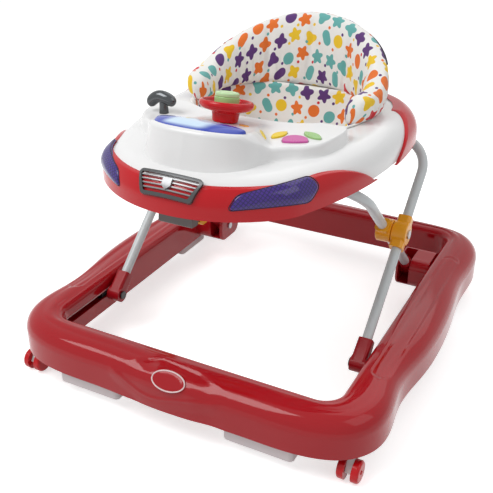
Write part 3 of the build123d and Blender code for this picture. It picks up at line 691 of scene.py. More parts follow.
@dataclass(frozen=True)
class Cloth(Finish):
    """Woven cloth, printed or plain, on the piece's UV map in metres."""

    printed: bool = True
    pitch: float = 0.031
    thread: float = 0.0009

    def looks(self, w: Wiring) -> Inputs:
        """Weave under the print, or under a faintly faded colour.

        Args:
            w: Wiring of the material.

        Returns:
            Inputs of the shader.
        """
        at, ground = w.cloth_place(), (*self.colour, 1)
        threads = {"Vector": at, "Thread": self.thread}
        weave = w.node("Group", threads, node_tree=Effects.WEAVE.group()).outputs["Height"]
        bump = w.node("Bump", {"Height": weave, "Distance": 0.0002, "Strength": 0.6})
        if self.printed:
            given = {"Vector": at, "Pitch": self.pitch, "Ground": ground}
            colour = w.node("Group", given, node_tree=Effects.PRINT.group()).outputs["Colour"]
        else:
            fade = w.node("TexNoise", {"Vector": at, "Scale": 60.0}).outputs["Fac"]
            colour = w.mix(fade, ground, (*(c * 0.8 for c in self.colour), 1))
        return {"Base Color": colour, "Normal": bump.outputs[0], "Roughness": 0.85, "Sheen Weight": 0.15}


@dataclass(frozen=True)
class Glazing(Finish):
    """Glossy tinted plastic with a painted reflection: a pale patch that fades out on all sides, on the
    piece's UV map.
    """

    painted_reflection: Triple
    rise: Pair = (0.12, 0.24)
    fall: Pair = (0.70, 0.56)
    climb: Pair = (0.0, 0.25)
    slant: float = -0.12

    def looks(self, w: Wiring) -> Inputs:
        """Tint, with the painted reflection where all three fades are high.

        Args:
            w: Wiring of the material.

        Returns:
            Inputs of the shader.
        """
        x, y, _ = w.split(w.cloth_place())
        across = w.math("MULTIPLY_ADD", y, self.slant, x)
        sides = w.math("MULTIPLY", w.ramp(across, *self.rise), w.ramp(across, *self.fall))
        reflection_mask = w.math("MULTIPLY", sides, w.ramp(y, *self.climb))
        # The pale colour is a painted reflection of the studio light, not part of the plastic's tint.
        return {"Base Color": w.mix(reflection_mask, (*self.colour, 1), (*self.painted_reflection, 1)), "Roughness": 0.08}


BASE_RED = Plastic("base_red", (0.41, 0.006, 0.012), roughness=0.07, specular=0.28)
TRAY_RED = Plastic("tray_red", (0.55, 0.006, 0.012), roughness=0.07, specular=0.25)
WHEEL_RED = Plastic("wheel_red", (0.58, 0.007, 0.012), roughness=0.16, specular=0.25)
FOOT_RED = Plastic("foot_red", (0.34, 0.006, 0.012), roughness=0.25, specular=0.2)
WHITE = Plastic("deck_white", (0.86, 0.86, 0.86), roughness=0.2, specular=0.4)
SATIN_WHITE = Plastic("satin_white", (0.70, 0.70, 0.69), roughness=0.42)
GREY_RUBBER = Plastic("pad_grey", (0.70, 0.63, 0.64), roughness=0.55, grain=900.0, bump=0.0001)
TUBE_GREY = Plastic("tube_grey", (0.60, 0.64, 0.65), roughness=0.26, grain=1500.0)
STEEL = Plastic("pin_steel", (0.45, 0.45, 0.47), roughness=0.3, metallic=1.0)
AMBER = Plastic("amber", (0.88, 0.37, 0.008), specular=0.4)
GRIP_GREY = Plastic("grip_grey", (0.11, 0.09, 0.085), roughness=0.3)
FRAME_METAL = Plastic("grille_frame_metal", (0.085, 0.088, 0.09), roughness=0.25, metallic=0.6)
BAR_METAL = Plastic("grille_bar_metal", (0.27, 0.275, 0.28), roughness=0.3, metallic=0.5)
# Near-black tube round each headlight: painted shade of the seam where the lens meets the bumper.
SEAM_SHADE = Plastic("lens_seam_shade", (0.03, 0.006, 0.03), roughness=0.3, specular=0.3)
LEVER = Plastic("lever_grey", (0.085, 0.09, 0.095), roughness=0.14, metallic=0.75)
# The windscreen's pale second colour is a painted reflection, laid over its blue tint.
SCREEN_BLUE = Glazing("screen_blue", (0.018, 0.05, 0.44), (0.60, 0.76, 0.92))
GREEN = Plastic("horn_green", (0.36, 0.62, 0.24), roughness=0.26)
PALE_GREEN = Plastic("horn_pale", (0.52, 0.76, 0.40), roughness=0.2)
YELLOW = Plastic("button_yellow", (0.86, 0.62, 0.02), roughness=0.28, specular=0.35)
PINK = Plastic("button_pink", (0.62, 0.11, 0.38), roughness=0.28, specular=0.35)
LEAF_GREEN = Plastic("button_green", (0.34, 0.58, 0.22), roughness=0.28, specular=0.35)
LABEL_RED = Plastic("label_red", (0.75, 0.12, 0.03), roughness=0.3)
# Pale pink on the slot lips is a painted highlight, not the plastic's colour.
SLOT_LIP_HIGHLIGHT = Plastic("slot_lip_highlight", (0.60, 0.30, 0.30), roughness=0.25)
PALE_PINK = Plastic("plate_rim", (0.80, 0.62, 0.62), roughness=0.3)
BLACK = Plastic("bush_black", (0.02, 0.02, 0.022), roughness=0.4)
LENS = MeshLens("lens_violet", (0.05, 0.014, 0.24), (0.010, 0.003, 0.075))
PRINT = Cloth("print_cloth", (0.86, 0.85, 0.82))
PIPING = Cloth("dark_piping", (0.05, 0.04, 0.06), printed=False)


def dress(piece: Object, finish: Finish) -> None:
    """Give a piece one finish."""
    piece.data.materials.clear()
    piece.data.materials.append(finish.material())


def place(piece: Object, body: str, finish: Finish, replaces: Sequence[str] = ()) -> None:
    """Dress a new piece, let it ride on its body and hide the CAD nodes that it stands for.

    Args:
        piece: New piece.
        body: Body that it moves with.
        finish: Finish to use.
        replaces: CAD nodes that the piece stands for.
    """
    dress(piece, finish)
    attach(piece, body)
    if replaces:
        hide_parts(*replaces)
    log.info("piece %s: %d faces", piece.name, len(piece.data.polygons))


def carve(piece: Object, cutter: Object) -> None:
    """Take a closed cutter out of a closed piece, and remove the cutter.

    Args:
        piece: Piece to cut.
        cutter: Form to take out of it.
    """
    cut = piece.modifiers.new("cut", "BOOLEAN")
    cut.operation, cut.solver, cut.object = "DIFFERENCE", "EXACT", cutter
    bpy.context.view_layer.update()
    graph = bpy.context.evaluated_depsgraph_get()
    piece.data = bpy.data.meshes.new_from_object(piece.evaluated_get(graph))
    piece.modifiers.clear()
    piece.data.shade_smooth()
    piece.data.set_sharp_from_angle(angle=math.radians(60))
    bpy.data.objects.remove(cutter)


# The base


@dataclass
class Base:
    """Ring base: a hollow rail with a rounded crown, reliefs on its front and long panels on its sides.

    A pair of edges is a fade, from the place where it starts to the place where it is full.
    """

    bottom: float = 44
    top: float = 106
    wall: float = 3
    outer_edge: float = 28
    inner_edge: float = 13
    crown: float = 2.0
    inner_size: Pair = (486, 583)
    inner_centre: Pair = (0, 8.5)
    inner_corner: float = 30
    outline: Pairs = (
        (0, -348.8), (120, -343.3), (226, -338.3), (279, -316.3), (305, -280), (310, -232),
        (304, -176), (313, -85), (317, 5), (312, 90), (306, 165), (308, 235),
        (300, 291), (268, 330), (215, 344), (110, 347), (0, 352.5),
    )
    samples: int = 840
    fine: tuple[int, ...] = (20, 18, 13, 9, 7)
    coarse: tuple[int, ...] = (4, 7, 6, 5, 4)
    panel: tuple[float, float, float, float] = (275, -205, 205, 15)
    panel_depth: float = 2.2
    panel_edge: Pair = (-3.5, 1.0)
    panel_level: Pair = (95, 102)
    front: Pair = (-285, -300)
    ridge: Pairs = ((-98, 91), (-80, 84), (-62, 76), (-42, 67), (-10, 65), (24, 74), (56, 80), (97, 88))
    ridge_height: float = 1.7
    ridge_width: float = 1.9
    ridge_front: float = -330
    ridge_ends: Pairs = ((-100, -84), (99, 80))
    swell_height: float = 1.2
    swell_edges: Pairs = ((0.5, -3.0), (-24, -5))
    lid: Pairs = ((-60, -328), (-20, -309), (45, -315), (92, -332))
    lid_depth: float = 2.6
    lid_ends: Pairs = ((-72, -30), (110, 60))
    lid_edges: Pairs = ((1.0, -2.2), (-34, -6))
    slot: tuple[float, float, float, float] = (-261, -137, 75, 6.3)
    slot_depth: Pair = (240, 248.5)
    # The pale tube along each slot paints its highlight: its place across, its gap to the slot, and the
    # part of the slot's outline that it follows.
    lip_side: float = 242.8
    lip_gap: float = 1.2
    lip_points: slice = field(default_factory=lambda: slice(20, 66))
    plate_place: Pair = (8, 96)
    plate_size: Pair = (29, 15.5)
    plate_plan: Pairs = ((0.0, 1.5), (0.6, 1.5), (0.86, 1.4), (0.97, 0.9), (1.0, -3.0))
    plate_rim: Pair = (0.93, 1.2)

    def rails(self) -> tuple[Array, Array, Array, Array]:
        """Outer and inner outline at matching points, each with its normals out of the rail."""
        right = np.array(self.outline, float)
        outer = ring_spline(np.concatenate([right, (right[1:-1] * [-1, 1])[::-1]]), self.samples)
        angle = np.arctan2(outer[:, 1] - self.inner_centre[1], outer[:, 0])
        inner_curve = rounded_box(*self.inner_size, self.inner_corner, self.inner_centre, 2400)
        inner, inner_normal = by_angle(inner_curve, self.inner_centre, angle)
        return outer, outward(outer), inner, -inner_normal

    def section(self, inset: float, counts: tuple[int, ...]) -> Array:
        """Rail drawn in by an inset: outer wall, outer rounding, crowned top, inner rounding, inner wall.

        Args:
            inset: Distance in from the outer face; 0 gives the outer face.
            counts: Number of columns on each of these five.

        Returns:
            Grid of points, of shape (samples, columns, 3).
        """
        outer, outer_normal, inner, inner_normal = self.rails()
        high = self.top - inset
        big, small = self.outer_edge - inset, self.inner_edge - inset
        start = outer - outer_normal * (inset + big)
        end = inner - inner_normal * (inset + small)
        columns = []
        for z in np.linspace(self.bottom, high - big, counts[0])[:-1]:
            columns.append((outer - outer_normal * inset, z))
        for c, s in on_circle(quarter_turn(counts[1])):
            columns.append((outer - outer_normal * (inset + big * (1 - c)), high - big + big * s))
        for t in np.linspace(0, 1, counts[2])[1:-1]:
            columns.append((start + (end - start) * t, high + self.crown * np.sin(np.pi * t)))
        for c, s in on_circle(quarter_turn(counts[3])):
            columns.append((inner - inner_normal * (inset + small * (1 - s)), high - small + small * c))
        for z in np.linspace(high - small, self.bottom, counts[4])[1:]:
            columns.append((inner - inner_normal * inset, z))
        return lifted(columns)

    def relief(self, points: Array) -> Array:
        """Height of the reliefs over the plain rail.

        The side panels and the hollow under the front's eyelid sink. The front's ridge, a bell curve
        across its line, and the swell below it rise.

        Args:
            points: Grid of points on the plain rail.

        Returns:
            Height in millimetres along the normal, of the grid's shape without its last axis.
        """
        x, y, z = np.moveaxis(points, -1, 0)
        across, low, high, half = self.panel
        reach = np.hypot(np.abs(x) - across, y - np.clip(y, low + half, high - half))
        beside = smooth(half + self.panel_edge[0], half + self.panel_edge[1], reach)
        height = -self.panel_depth * (1 - beside) * smooth(*self.panel_level, z)
        front = smooth(*self.front, y)
        ridge_x, ridge_z = np.array(self.ridge, float).T
        at = np.clip(x, ridge_x[0], ridge_x[-1])
        line = smooth_line(ridge_z[:, None], at.ravel(), ridge_x).reshape(x.shape)
        crest = self.ridge_height * bell(z - line, self.ridge_width)
        swell = self.swell_height * band(z, self.swell_edges, line)
        height += (crest + swell) * band(x, self.ridge_ends) * front * (y < self.ridge_front)
        lid = np.interp(x, *np.array(self.lid).T)
        height -= self.lid_depth * band(y, self.lid_edges, lid) * band(x, self.lid_ends) * front
        return height

    def slot_form(self, side: int, grow: float = 0.0) -> Array:
        """Form of a foot's slot: a rounded slot along the inner wall, at two depths across it.

        Args:
            side: 1 for the +X side, -1 for the other.
            grow: Distance by which the outline is grown.

        Returns:
            Points, of shape (2, 80, 3), from the rear end over the top to the front end and back.
        """
        front, rear, level, radius = self.slot
        bend = on_circle(np.linspace(-np.pi / 2, np.pi / 2, 40)) * (radius + grow)
        outline = np.concatenate([bend + [rear, level], [front, level] - bend])
        return np.stack([np.insert(outline, 0, side * x, 1) for x in self.slot_depth])

    def plate(self, face: Array, normal: Array) -> None:
        """Oval plate on the front rail: a flat-topped pad with a pale rim, and nothing on it.

        Args:
            face: Grid of the plain rail.
            normal: Its normals.
        """
        at_x, at_z = self.plate_place
        row = int(np.argmin(np.where(face[:, 0, 1] < 0, np.abs(face[:, 0, 0] - at_x), np.inf)))
        column = int(np.argmin(np.abs(face[row, : sum(self.fine[:2]), 2] - at_z)))
        middle, up = face[row, column], normal[row, column]
        side = unit(np.cross(np.array([0.0, 0.0, 1.0]), up))
        ring = on_circle(whole_turn(96)) * self.plate_size @ np.stack([side, np.cross(up, side)])
        points = np.stack([middle + ring * r + up * h for r, h in self.plate_plan], 1)
        place(surface("name_plate", points, close_u=True), "base", BASE_RED)
        rim = middle + ring * self.plate_rim[0] + up * self.plate_rim[1]
        place(tube("name_plate_rim", rim, 1.1, sides=12, closed=True), "base", PALE_PINK)

    def build(self) -> None:
        """Make the shell with the slots of the feet, a thin tube over each slot's upper edge and front end
        painted pale as a highlight, and the plate on its front.
        """
        face = self.section(0.0, self.fine)
        closed = np.concatenate([face, self.section(self.wall, self.coarse)[:, ::-1]], 1)
        normal = grid_normals(closed)[:, : face.shape[1]]
        if normal[0, 3, :2] @ face[0, 3, :2] < 0:
            normal = -normal
        closed[:, : face.shape[1]] = face + normal * self.relief(face)[..., None]
        shell = surface("base_ring", closed, close_u=True, close_v=True, sharp=60)
        for side, name in ((-1, "slot_lip_left"), (1, "slot_lip_right")):
            carve(shell, surface("slot_cutter", self.slot_form(side), close_v=True, cap_u=True))
            # The tube runs only over the upper edge and front end, where it paints the highlight that
            # light makes on the slot's rim.
            edge = self.slot_form(side, self.lip_gap)[0, self.lip_points]
            edge[:, 0] = side * self.lip_side
            place(tube(name, edge, 1.0, 12), "base", SLOT_LIP_HIGHLIGHT)
        place(shell, "base", BASE_RED, ["base_shell"])
        self.plate(face, normal)


# The legs


@dataclass
class Legs:
    """Two bent tubes that cross like scissors."""

    rise_angle: float = 41.93
    pivot_height: float = 75
    rear_pivot_y: float = 189
    lower_arm: float = 224.5
    upper_arm: float = 171.4
    radius: float = 8
    bend: float = 60
    tube_start: float = 6
    front_x: float = 226.5
    rear_x: float = 199

    def path(self, leg_x: float, pivot_y: float, lean: float) -> Array:
        """Route of one tube: up a leg, round a bend, over the crossbar and down the other leg.

        Args:
            leg_x: Half the distance between the legs.
            pivot_y: Foot of the legs.
            lean: 1 if the tube climbs to the rear, -1 if to the front.

        Returns:
            Points, of shape (n, 3).
        """
        straight = self.lower_arm + self.upper_arm - self.bend
        climb = np.linspace(self.tube_start, straight, 12, endpoint=False)
        leg = np.stack([np.full(12, leg_x), climb], -1)
        corner = self.bend * on_circle(quarter_turn(20)) + [leg_x - self.bend, straight]
        x, along = mirrored(np.concatenate([leg, corner])).T
        run, rise = on_circle(np.radians(self.rise_angle))
        return np.stack([x, pivot_y + along * run * lean, self.pivot_height + along * rise], -1)

    def build(self) -> None:
        """Make both tubes."""
        front_y = self.rear_pivot_y - 2 * self.lower_arm * math.cos(math.radians(self.rise_angle))
        tubes = (("rear", self.rear_x, self.rear_pivot_y, -1), ("front", self.front_x, front_y, 1))
        for name, leg_x, pivot_y, lean in tubes:
            piece = tube(name + "_tube", self.path(leg_x, pivot_y, lean), self.radius, 32)
            place(piece, name + "_legs", TUBE_GREY, [name + "_leg_frame"])


# The tray


@dataclass
class Tray:
    """White deck with a rounded rim, red bumpers over it, and headlights in the front one."""

    bottom: float = 350
    top: float = 400
    edge: float = 38
    wall: float = 3.2
    half_width: float = 211
    widest: float = 27
    side_radius: float = 630
    rear_turn: float = 7
    rear_corner: float = 125
    rear_radius: float = 270
    corner_radius: float = 70
    nose_radius: float = 200
    nose: float = -310
    opening: Pair = (296, 228)
    opening_corner: float = 108
    opening_centre: float = 36
    opening_edge: float = 2.5
    collar: float = 26
    skin: float = 4.6
    skin_gap: float = 0.2
    skin_low: float = 348
    skin_lip: float = 1.6
    seam: float = 391
    seam_end: float = -205
    seam_bend: Pair = (-130, 380)
    seam_foot: float = -72
    rear_seam: float = 401.5
    rear_end: float = 100
    rear_bend: Pair = (50, 377)
    rear_foot: float = 4
    foot_spare: float = 6
    lens_origin: Triple = (130, -252, 378)
    lens_across: Triple = (0.66, 0.75, 0)
    lens_out: Triple = (0.70, -0.62, 0.36)
    lens_corners: Pairs = ((-64, -11), (-50, 8), (54, 19), (67, 4), (48, -16))
    lens_corner: float = 9
    lens_dome: Pair = (1.4, 3.4)
    lens_hem: Pair = (0.4, -2.5)
    samples: int = 720
    rim: Array = field(init=False)
    rim_normal: Array = field(init=False)

    def __post_init__(self) -> None:
        """Work out the rim's outline and normals."""
        self.rim = even_ring(self.arcs(), 2400)
        self.rim_normal = outward(self.rim)

    def arcs(self) -> Array:
        """Outline of the rim: nose, corner, side, rear corner and rear arcs, each tangent to the next."""
        side = np.array([self.half_width - self.side_radius, self.widest])
        nose = np.array([0, self.nose + self.nose_radius])
        to_side, to_nose = self.side_radius - self.corner_radius, self.nose_radius - self.corner_radius
        span = np.linalg.norm(nose - side)
        along = (nose - side) / span
        reach = (to_side**2 - to_nose**2 + span**2) / (2 * span)
        drop = math.sqrt(to_side**2 - reach**2)
        corner = side + reach * along + drop * np.array([along[1], -along[0]])
        side_end, nose_end = (math.atan2(*(corner - middle)[::-1]) for middle in (side, nose))
        turn = math.radians(self.rear_turn)
        bend = side + (self.side_radius - self.rear_corner) * on_circle(turn)
        back_drop = math.sqrt((self.rear_radius - self.rear_corner) ** 2 - bend[0] ** 2)
        back = np.array([0, bend[1] - back_drop])
        back_start = math.atan2(back_drop, bend[0])
        pieces = (
            (nose, self.nose_radius, -np.pi / 2, nose_end),
            (corner, self.corner_radius, nose_end, side_end),
            (side, self.side_radius, side_end, turn),
            (bend, self.rear_corner, turn, back_start),
            (back, self.rear_radius, back_start, np.pi / 2),
        )
        half = [centre + radius * on_circle(np.linspace(a, b, 160)) for centre, radius, a, b in pieces]
        return mirrored(np.concatenate(half))

    def rim_offset(self, grow: float, z: Array | float) -> Array:
        """How far the rim form, grown by a distance, reaches out of the rim's outline at a height.

        Args:
            grow: Distance by which the form is grown.
            z: Heights.

        Returns:
            Distances out of the outline, of the shape of z.
        """
        radius = self.edge + grow
        lift = np.clip((z - (self.top - self.edge)) / radius, 0, 1)
        return -self.edge + radius * np.sqrt(1 - lift**2)

    def distance(self, points: Array) -> Array:
        """Distance of points from the rounded rim form, positive outside.

        Args:
            points: Points, of shape (n, 3).

        Returns:
            Distances, of shape (n,).
        """
        gap = points[:, None, :2] - self.rim[None, ::4]
        nearest = np.argmin((gap**2).sum(-1), 1)
        normal = self.rim_normal[::4][nearest]
        inward = self.edge + (gap[np.arange(len(points)), nearest] * normal).sum(-1)
        rounded = np.hypot(inward, np.maximum(points[:, 2] - (self.top - self.edge), 0)) - self.edge
        return np.where(inward > 0, rounded, points[:, 2] - self.top)

    def on_rim(self, flat: Array, grow: Array | float) -> Array:
        """Points of the lens's plane, carried along its normal to the rim form by repeated steps.

        Args:
            flat: Points on the plane, of shape (n, 2).
            grow: Distance out of the rim form, one for all or one for each point.

        Returns:
            Points, of shape (n, 3).
        """
        out, across = unit(np.array(self.lens_out)), unit(np.array(self.lens_across))
        across = unit(across - out * (across @ out))
        start = np.array(self.lens_origin) + flat @ np.stack([across, np.cross(out, across)])
        along = np.zeros(len(flat))
        for _ in range(24):
            along -= 0.8 * (self.distance(start + along[:, None] * out) - grow)
        return start + along[:, None] * out

    def shell(self, grow: float, lip: float) -> Array:
        """Columns of one face of the deck: rim wall, rounding, flat, the opening's edge and the collar.

        Args:
            grow: Distance of the face out of the deck's upper face.
            lip: Distance of its collar out of the opening's outline.

        Returns:
            Grid from the rim's foot to the collar's foot, of shape (samples, columns, 3).
        """
        angle = np.linspace(-np.pi, np.pi, self.samples, endpoint=False)
        centre = (0, self.opening_centre)
        outer, normal = by_angle(self.rim, centre, angle)
        opening = rounded_box(*self.opening, self.opening_corner, centre, 2400)
        mouth, mouth_normal = by_angle(opening, centre, angle)
        middle, top = self.top - self.edge, self.top + grow
        start = outer - normal * self.edge
        end = mouth + mouth_normal * (lip + self.opening_edge)
        wall = np.linspace(self.bottom, middle - 1, 4)
        levels = np.concatenate([wall, middle + (self.edge + grow) * np.sin(quarter_turn(16))])
        columns = [(outer + normal * self.rim_offset(grow, z), z) for z in levels]
        columns += [(start + (end - start) * t, top) for t in np.linspace(0, 1, 14)[1:]]
        for c, s in on_circle(quarter_turn(5))[1:]:
            ring = mouth + mouth_normal * (lip + self.opening_edge * (1 - s))
            columns.append((ring, top - self.opening_edge * (1 - c)))
        columns.append((mouth + mouth_normal * lip, self.top - self.collar))
        return lifted(columns)

    def bumper(self, name: str, keep: Array, seam: Callable[[Array], Array], node: str) -> None:
        """Make a bumper: a skin over the rim, from its lower edge up to a seam, with a rounded lip.

        Args:
            name: Name of the piece.
            keep: Indices of the rim points that it covers, in order.
            seam: Height of the seam for a place along Y.
            node: CAD node that it stands for.
        """
        rim, normal = self.rim[keep], self.rim_normal[keep]
        z = seam(rim[:, 1])
        for _ in range(40):
            y = rim[:, 1] + normal[:, 1] * self.rim_offset(self.skin, z)
            z = 0.5 * z + 0.5 * seam(y)
        low, thick = self.skin_low, self.skin - self.skin_gap
        z = np.maximum(z, low + 0.05)
        lip = np.minimum(self.skin_lip, (z - low) / 3)
        steps = [(self.skin, low + (z - lip - low) * t) for t in np.linspace(0, 1, 26)]
        for t in np.linspace(0, 1, 6)[1:]:
            steps.append((self.skin - thick * t**2, z - lip * (1 - math.sin(t * math.pi / 2))))
        steps += [(self.skin_gap, low + (z - low) * t) for t in np.linspace(1, 0, 8)[1:]]
        grid = lifted([(rim + normal * self.rim_offset(grow, h)[:, None], h) for grow, h in steps])
        piece = surface(name, grid, close_v=True, sharp=50)
        place(piece, "tray", TRAY_RED, [node])

    def headlight(self, side: int, name: str, node: str) -> None:
        """Make a headlight: a domed lens ringed by a thin near-black tube, painted shade of the seam round
        it, with its mesh pattern on its UV map.

        Args:
            side: 1 for the +X side, -1 for the other.
            name: Name of the piece.
            node: CAD node that it stands for.
        """
        outline = even_ring(soften(np.array(self.lens_corners, float), self.lens_corner, 12), 140)
        heart = outline.mean(0)
        rings = np.concatenate([np.linspace(0.02, 0.9, 16), [0.95, 0.985, 1.0, 1.0]])
        rise = self.lens_dome[0] + self.lens_dome[1] * (1 - rings**2)
        rise[-2:] = self.lens_hem
        flat = heart + rings[:, None, None] * (outline - heart)
        grow = np.repeat(self.skin + rise, len(outline))
        points = self.on_rim(flat.reshape(-1, 2), grow).reshape(*flat.shape[:2], 3) * [side, 1, 1]
        # A near-black tube just round the lens paints the shade of the seam where the lens meets the
        # bumper.
        shade_ring = self.on_rim(heart + 1.025 * (outline - heart), self.skin + 0.1) * [side, 1, 1]
        uv = np.concatenate([flat, flat[:, :1]], 1) * MM
        lens = surface(name, points, close_v=True, uv=uv, sharp=60)
        place(lens, "tray", LENS, [node])
        place(tube(name + "_seam_shade", shade_ring, 0.7, 10, closed=True), "tray", SEAM_SHADE)

    def build(self) -> None:
        """Make the deck, the bumpers and the headlights."""
        inside = self.shell(-self.wall, self.wall)[:, ::-1]
        grid = np.concatenate([self.shell(0.0, 0.0), inside], 1)
        deck = surface("deck", grid, close_u=True, close_v=True, sharp=50)
        place(deck, "tray", WHITE, ["tray_deck"])
        count = len(self.rim)
        order = np.arange(count)
        nose_first = np.roll(order, count // 2)
        front = nose_first[self.rim[nose_first, 1] < self.seam_foot + self.foot_spare][::3]
        rear = order[self.rim[order, 1] > self.rear_foot - self.foot_spare][::3]
        low = self.skin_low - 1
        front_arc = arc_through((self.seam_end, self.seam), self.seam_bend, (self.seam_foot, low))
        rear_arc = arc_through((self.rear_end, self.rear_seam), self.rear_bend, (self.rear_foot, low))

        def front_seam(y: Array) -> Array:
            """Height of the front bumper's seam over a place."""
            return np.where(y < self.seam_end, self.seam, front_arc(y))

        def rear_seam(y: Array) -> Array:
            """Height of the rear bumper's seam over a place."""
            return np.where(y > self.rear_end, self.rear_seam, rear_arc(y))

        self.bumper("front_red", front, front_seam, "front_bumper")
        self.bumper("rear_red", rear, rear_seam, "rear_bumper")
        for side, name in ((1, "right"), (-1, "left")):
            self.headlight(side, "lens_" + name, "headlight_" + name)


# The dashboard


@dataclass
class Dashboard:
    """Raised console on the deck, with its inlay, wheel, horn, lever, buttons' wells and plain labels."""

    deck: float = 400
    slope: float = 12.3
    crest: Triple = (0, -250, 449)
    wing_top: float = 418
    pod: Pairs = (
        (-260, 82), (-230, 85), (-205, 86), (-185, 82), (-165, 72), (-140, 60), (-115, 50), (-94, 42),
    )
    pod_fade: Pair = (-18, 14)
    draft: float = 13
    flare: float = 3.5
    shoulder: float = 7
    inner_edge: float = 3.0
    outer: Pairs = (
        (0, -278), (33, -274), (61, -261), (80, -241), (89, -217), (99, -199), (116, -184), (136, -170),
        (152, -147), (160, -112), (163, -82), (159, -66), (148, -60.5),
    )
    inner: Pairs = (
        (0, -86), (20, -86), (40, -86), (58, -84.5), (78.8, -79.3), (92, -73.5), (104, -66.5),
        (113, -60.5), (128, -60.2), (138, -60.1), (144, -60.1), (147, -60.1), (148.5, -60.1),
    )
    buttons: tuple[tuple[Pair, float, float, float, float], ...] = (
        ((84, -143), 75, 17, 9, 6), ((115.5, -159), 27.7, 16.5, 26, 2), ((126, -124), -27, 18, 9, 8),
    )
    well_gap: float = 0.4
    well_depth: float = 6.2
    screen_half: float = 70
    screen_tip: float = -219
    screen_depth: float = 37
    screen_rise: float = 6
    screen_dome: float = 3.0
    wheel_reach: float = 102
    wheel_profile: Pairs = (
        (0, 0.4), (18.5, 0.4), (20.5, 15.5), (26, 16.6), (32, 18), (37.5, 20.6), (40, 25), (39.6, 28.6),
        (38, 31), (36, 31.6), (34.2, 30.2), (32.6, 27), (30, 24.2), (24, 23), (18.7, 22.5), (18.6, 10),
        (0, 10),
    )
    horn_profile: Pairs = ((0, 14.6), (18.1, 14.6), (18.1, 35.8), (17.4, 36.6), (0, 36.6))
    cap_profile: Pairs = (
        (0, 36.6), (17.0, 36.6), (17.6, 37.6), (17.6, 41.2), (16.2, 43.0), (12.8, 43.4), (11.6, 42.4),
        (0, 42.4),
    )
    lever_ball: Triple = (-117, -131, 420)
    knob_line: Pairs = ((20, 13), (9, 20.5), (-6, 23), (-18, 17), (-25, 6))
    knob_radius: float = 9.2

    def on_pod(self, y: Array) -> Array:
        """Height of the pod's sloping plane at a place along Y."""
        return self.crest[2] - (y - self.crest[1]) * math.tan(math.radians(self.slope))

    def top(self, x: Array, y: Array) -> Array:
        """Height of the console: the pod's sloping plane in the middle, easing down to the low wings.

        Args:
            x: Places along X.
            y: Places along Y.

        Returns:
            Heights, of the shape of x.
        """
        pod_half = np.interp(y, *np.array(self.pod).T)
        middle = 1 - smooth(*self.pod_fade, np.abs(x) - pod_half)
        return self.wing_top + np.maximum(self.on_pod(y) - self.wing_top, 0) * middle

    def console(self) -> None:
        """Make the console: outer wall with a rounded shoulder, top, and inner wall, along the crescent.

        The shoulder's height is the top's height at the place where the shoulder ends. That place
        lies further in for a higher wall, so both are found together by repeating the step.
        """
        halves = [smooth_line(line, np.linspace(0, 1, 170)) for line in (self.outer, self.inner)]
        outer, inner = (np.concatenate([(half * [-1, 1])[:0:-1], half]) for half in halves)
        reach = np.linalg.norm(inner - outer, axis=1)[:, None]
        inward = (inner - outer) / reach
        draft = math.tan(math.radians(self.draft))
        rise = np.full((len(outer), 1), 40.0)
        for _ in range(12):
            wall_top = np.minimum(self.flare + (rise - self.shoulder) * draft, reach * 0.3)
            start = outer + inward * wall_top + inward * np.minimum(self.shoulder, reach * 0.2)
            rise = (self.top(*start.T) - self.deck)[:, None]
        columns = []
        for t in np.linspace(0, 1, 14):
            z = -1 + (rise - self.shoulder + 1) * t
            draw = self.flare * (1 - (1 - t) ** 5) + np.maximum(z, 0) * draft
            foot = outer + inward * np.minimum(draw, reach * 0.3)
            columns.append((foot, self.deck + z[:, 0]))
        for c, s in on_circle(quarter_turn(9))[1:]:
            height = self.deck + rise[:, 0] - self.shoulder * (1 - s)
            columns.append((foot + (start - foot) * (1 - c), height))
        end = inner - inward * np.minimum(self.inner_edge, reach * 0.2)
        for t in np.linspace(0, 1, 60)[1:]:
            flat = start + (end - start) * t
            columns.append((flat, self.top(*flat.T)))
        for c, s in on_circle(quarter_turn(6))[1:]:
            columns.append((end + (inner - end) * s, self.top(*end.T) - self.inner_edge * (1 - c)))
        columns.append((inner, self.deck - 1))
        piece = surface("console", lifted(columns), close_v=True, sharp=60, cap_u=True)
        self.wells(piece)
        place(piece, "tray", WHITE, ["dash_shell"])

    def wells(self, piece: Object) -> None:
        """Cut the wells of the buttons: prisms between two arcs over one chord, each grown by a gap.

        Args:
            piece: The closed console.
        """
        for centre, turn, half, upper, lower in self.buttons:
            chord = half + 2 * self.well_gap
            above, below = (bow(chord, rise + self.well_gap, 40) for rise in (upper, lower))
            outline = turned(np.concatenate([above, below[-2:0:-1] * [1, -1]]), turn) + np.array(centre)
            z = float(self.top(*np.array(centre)))
            levels = lifted([(outline, z - self.well_depth), (outline, z + 4)]).swapaxes(0, 1)
            carve(piece, surface("well_cutter", levels, close_v=True, cap_u=True))

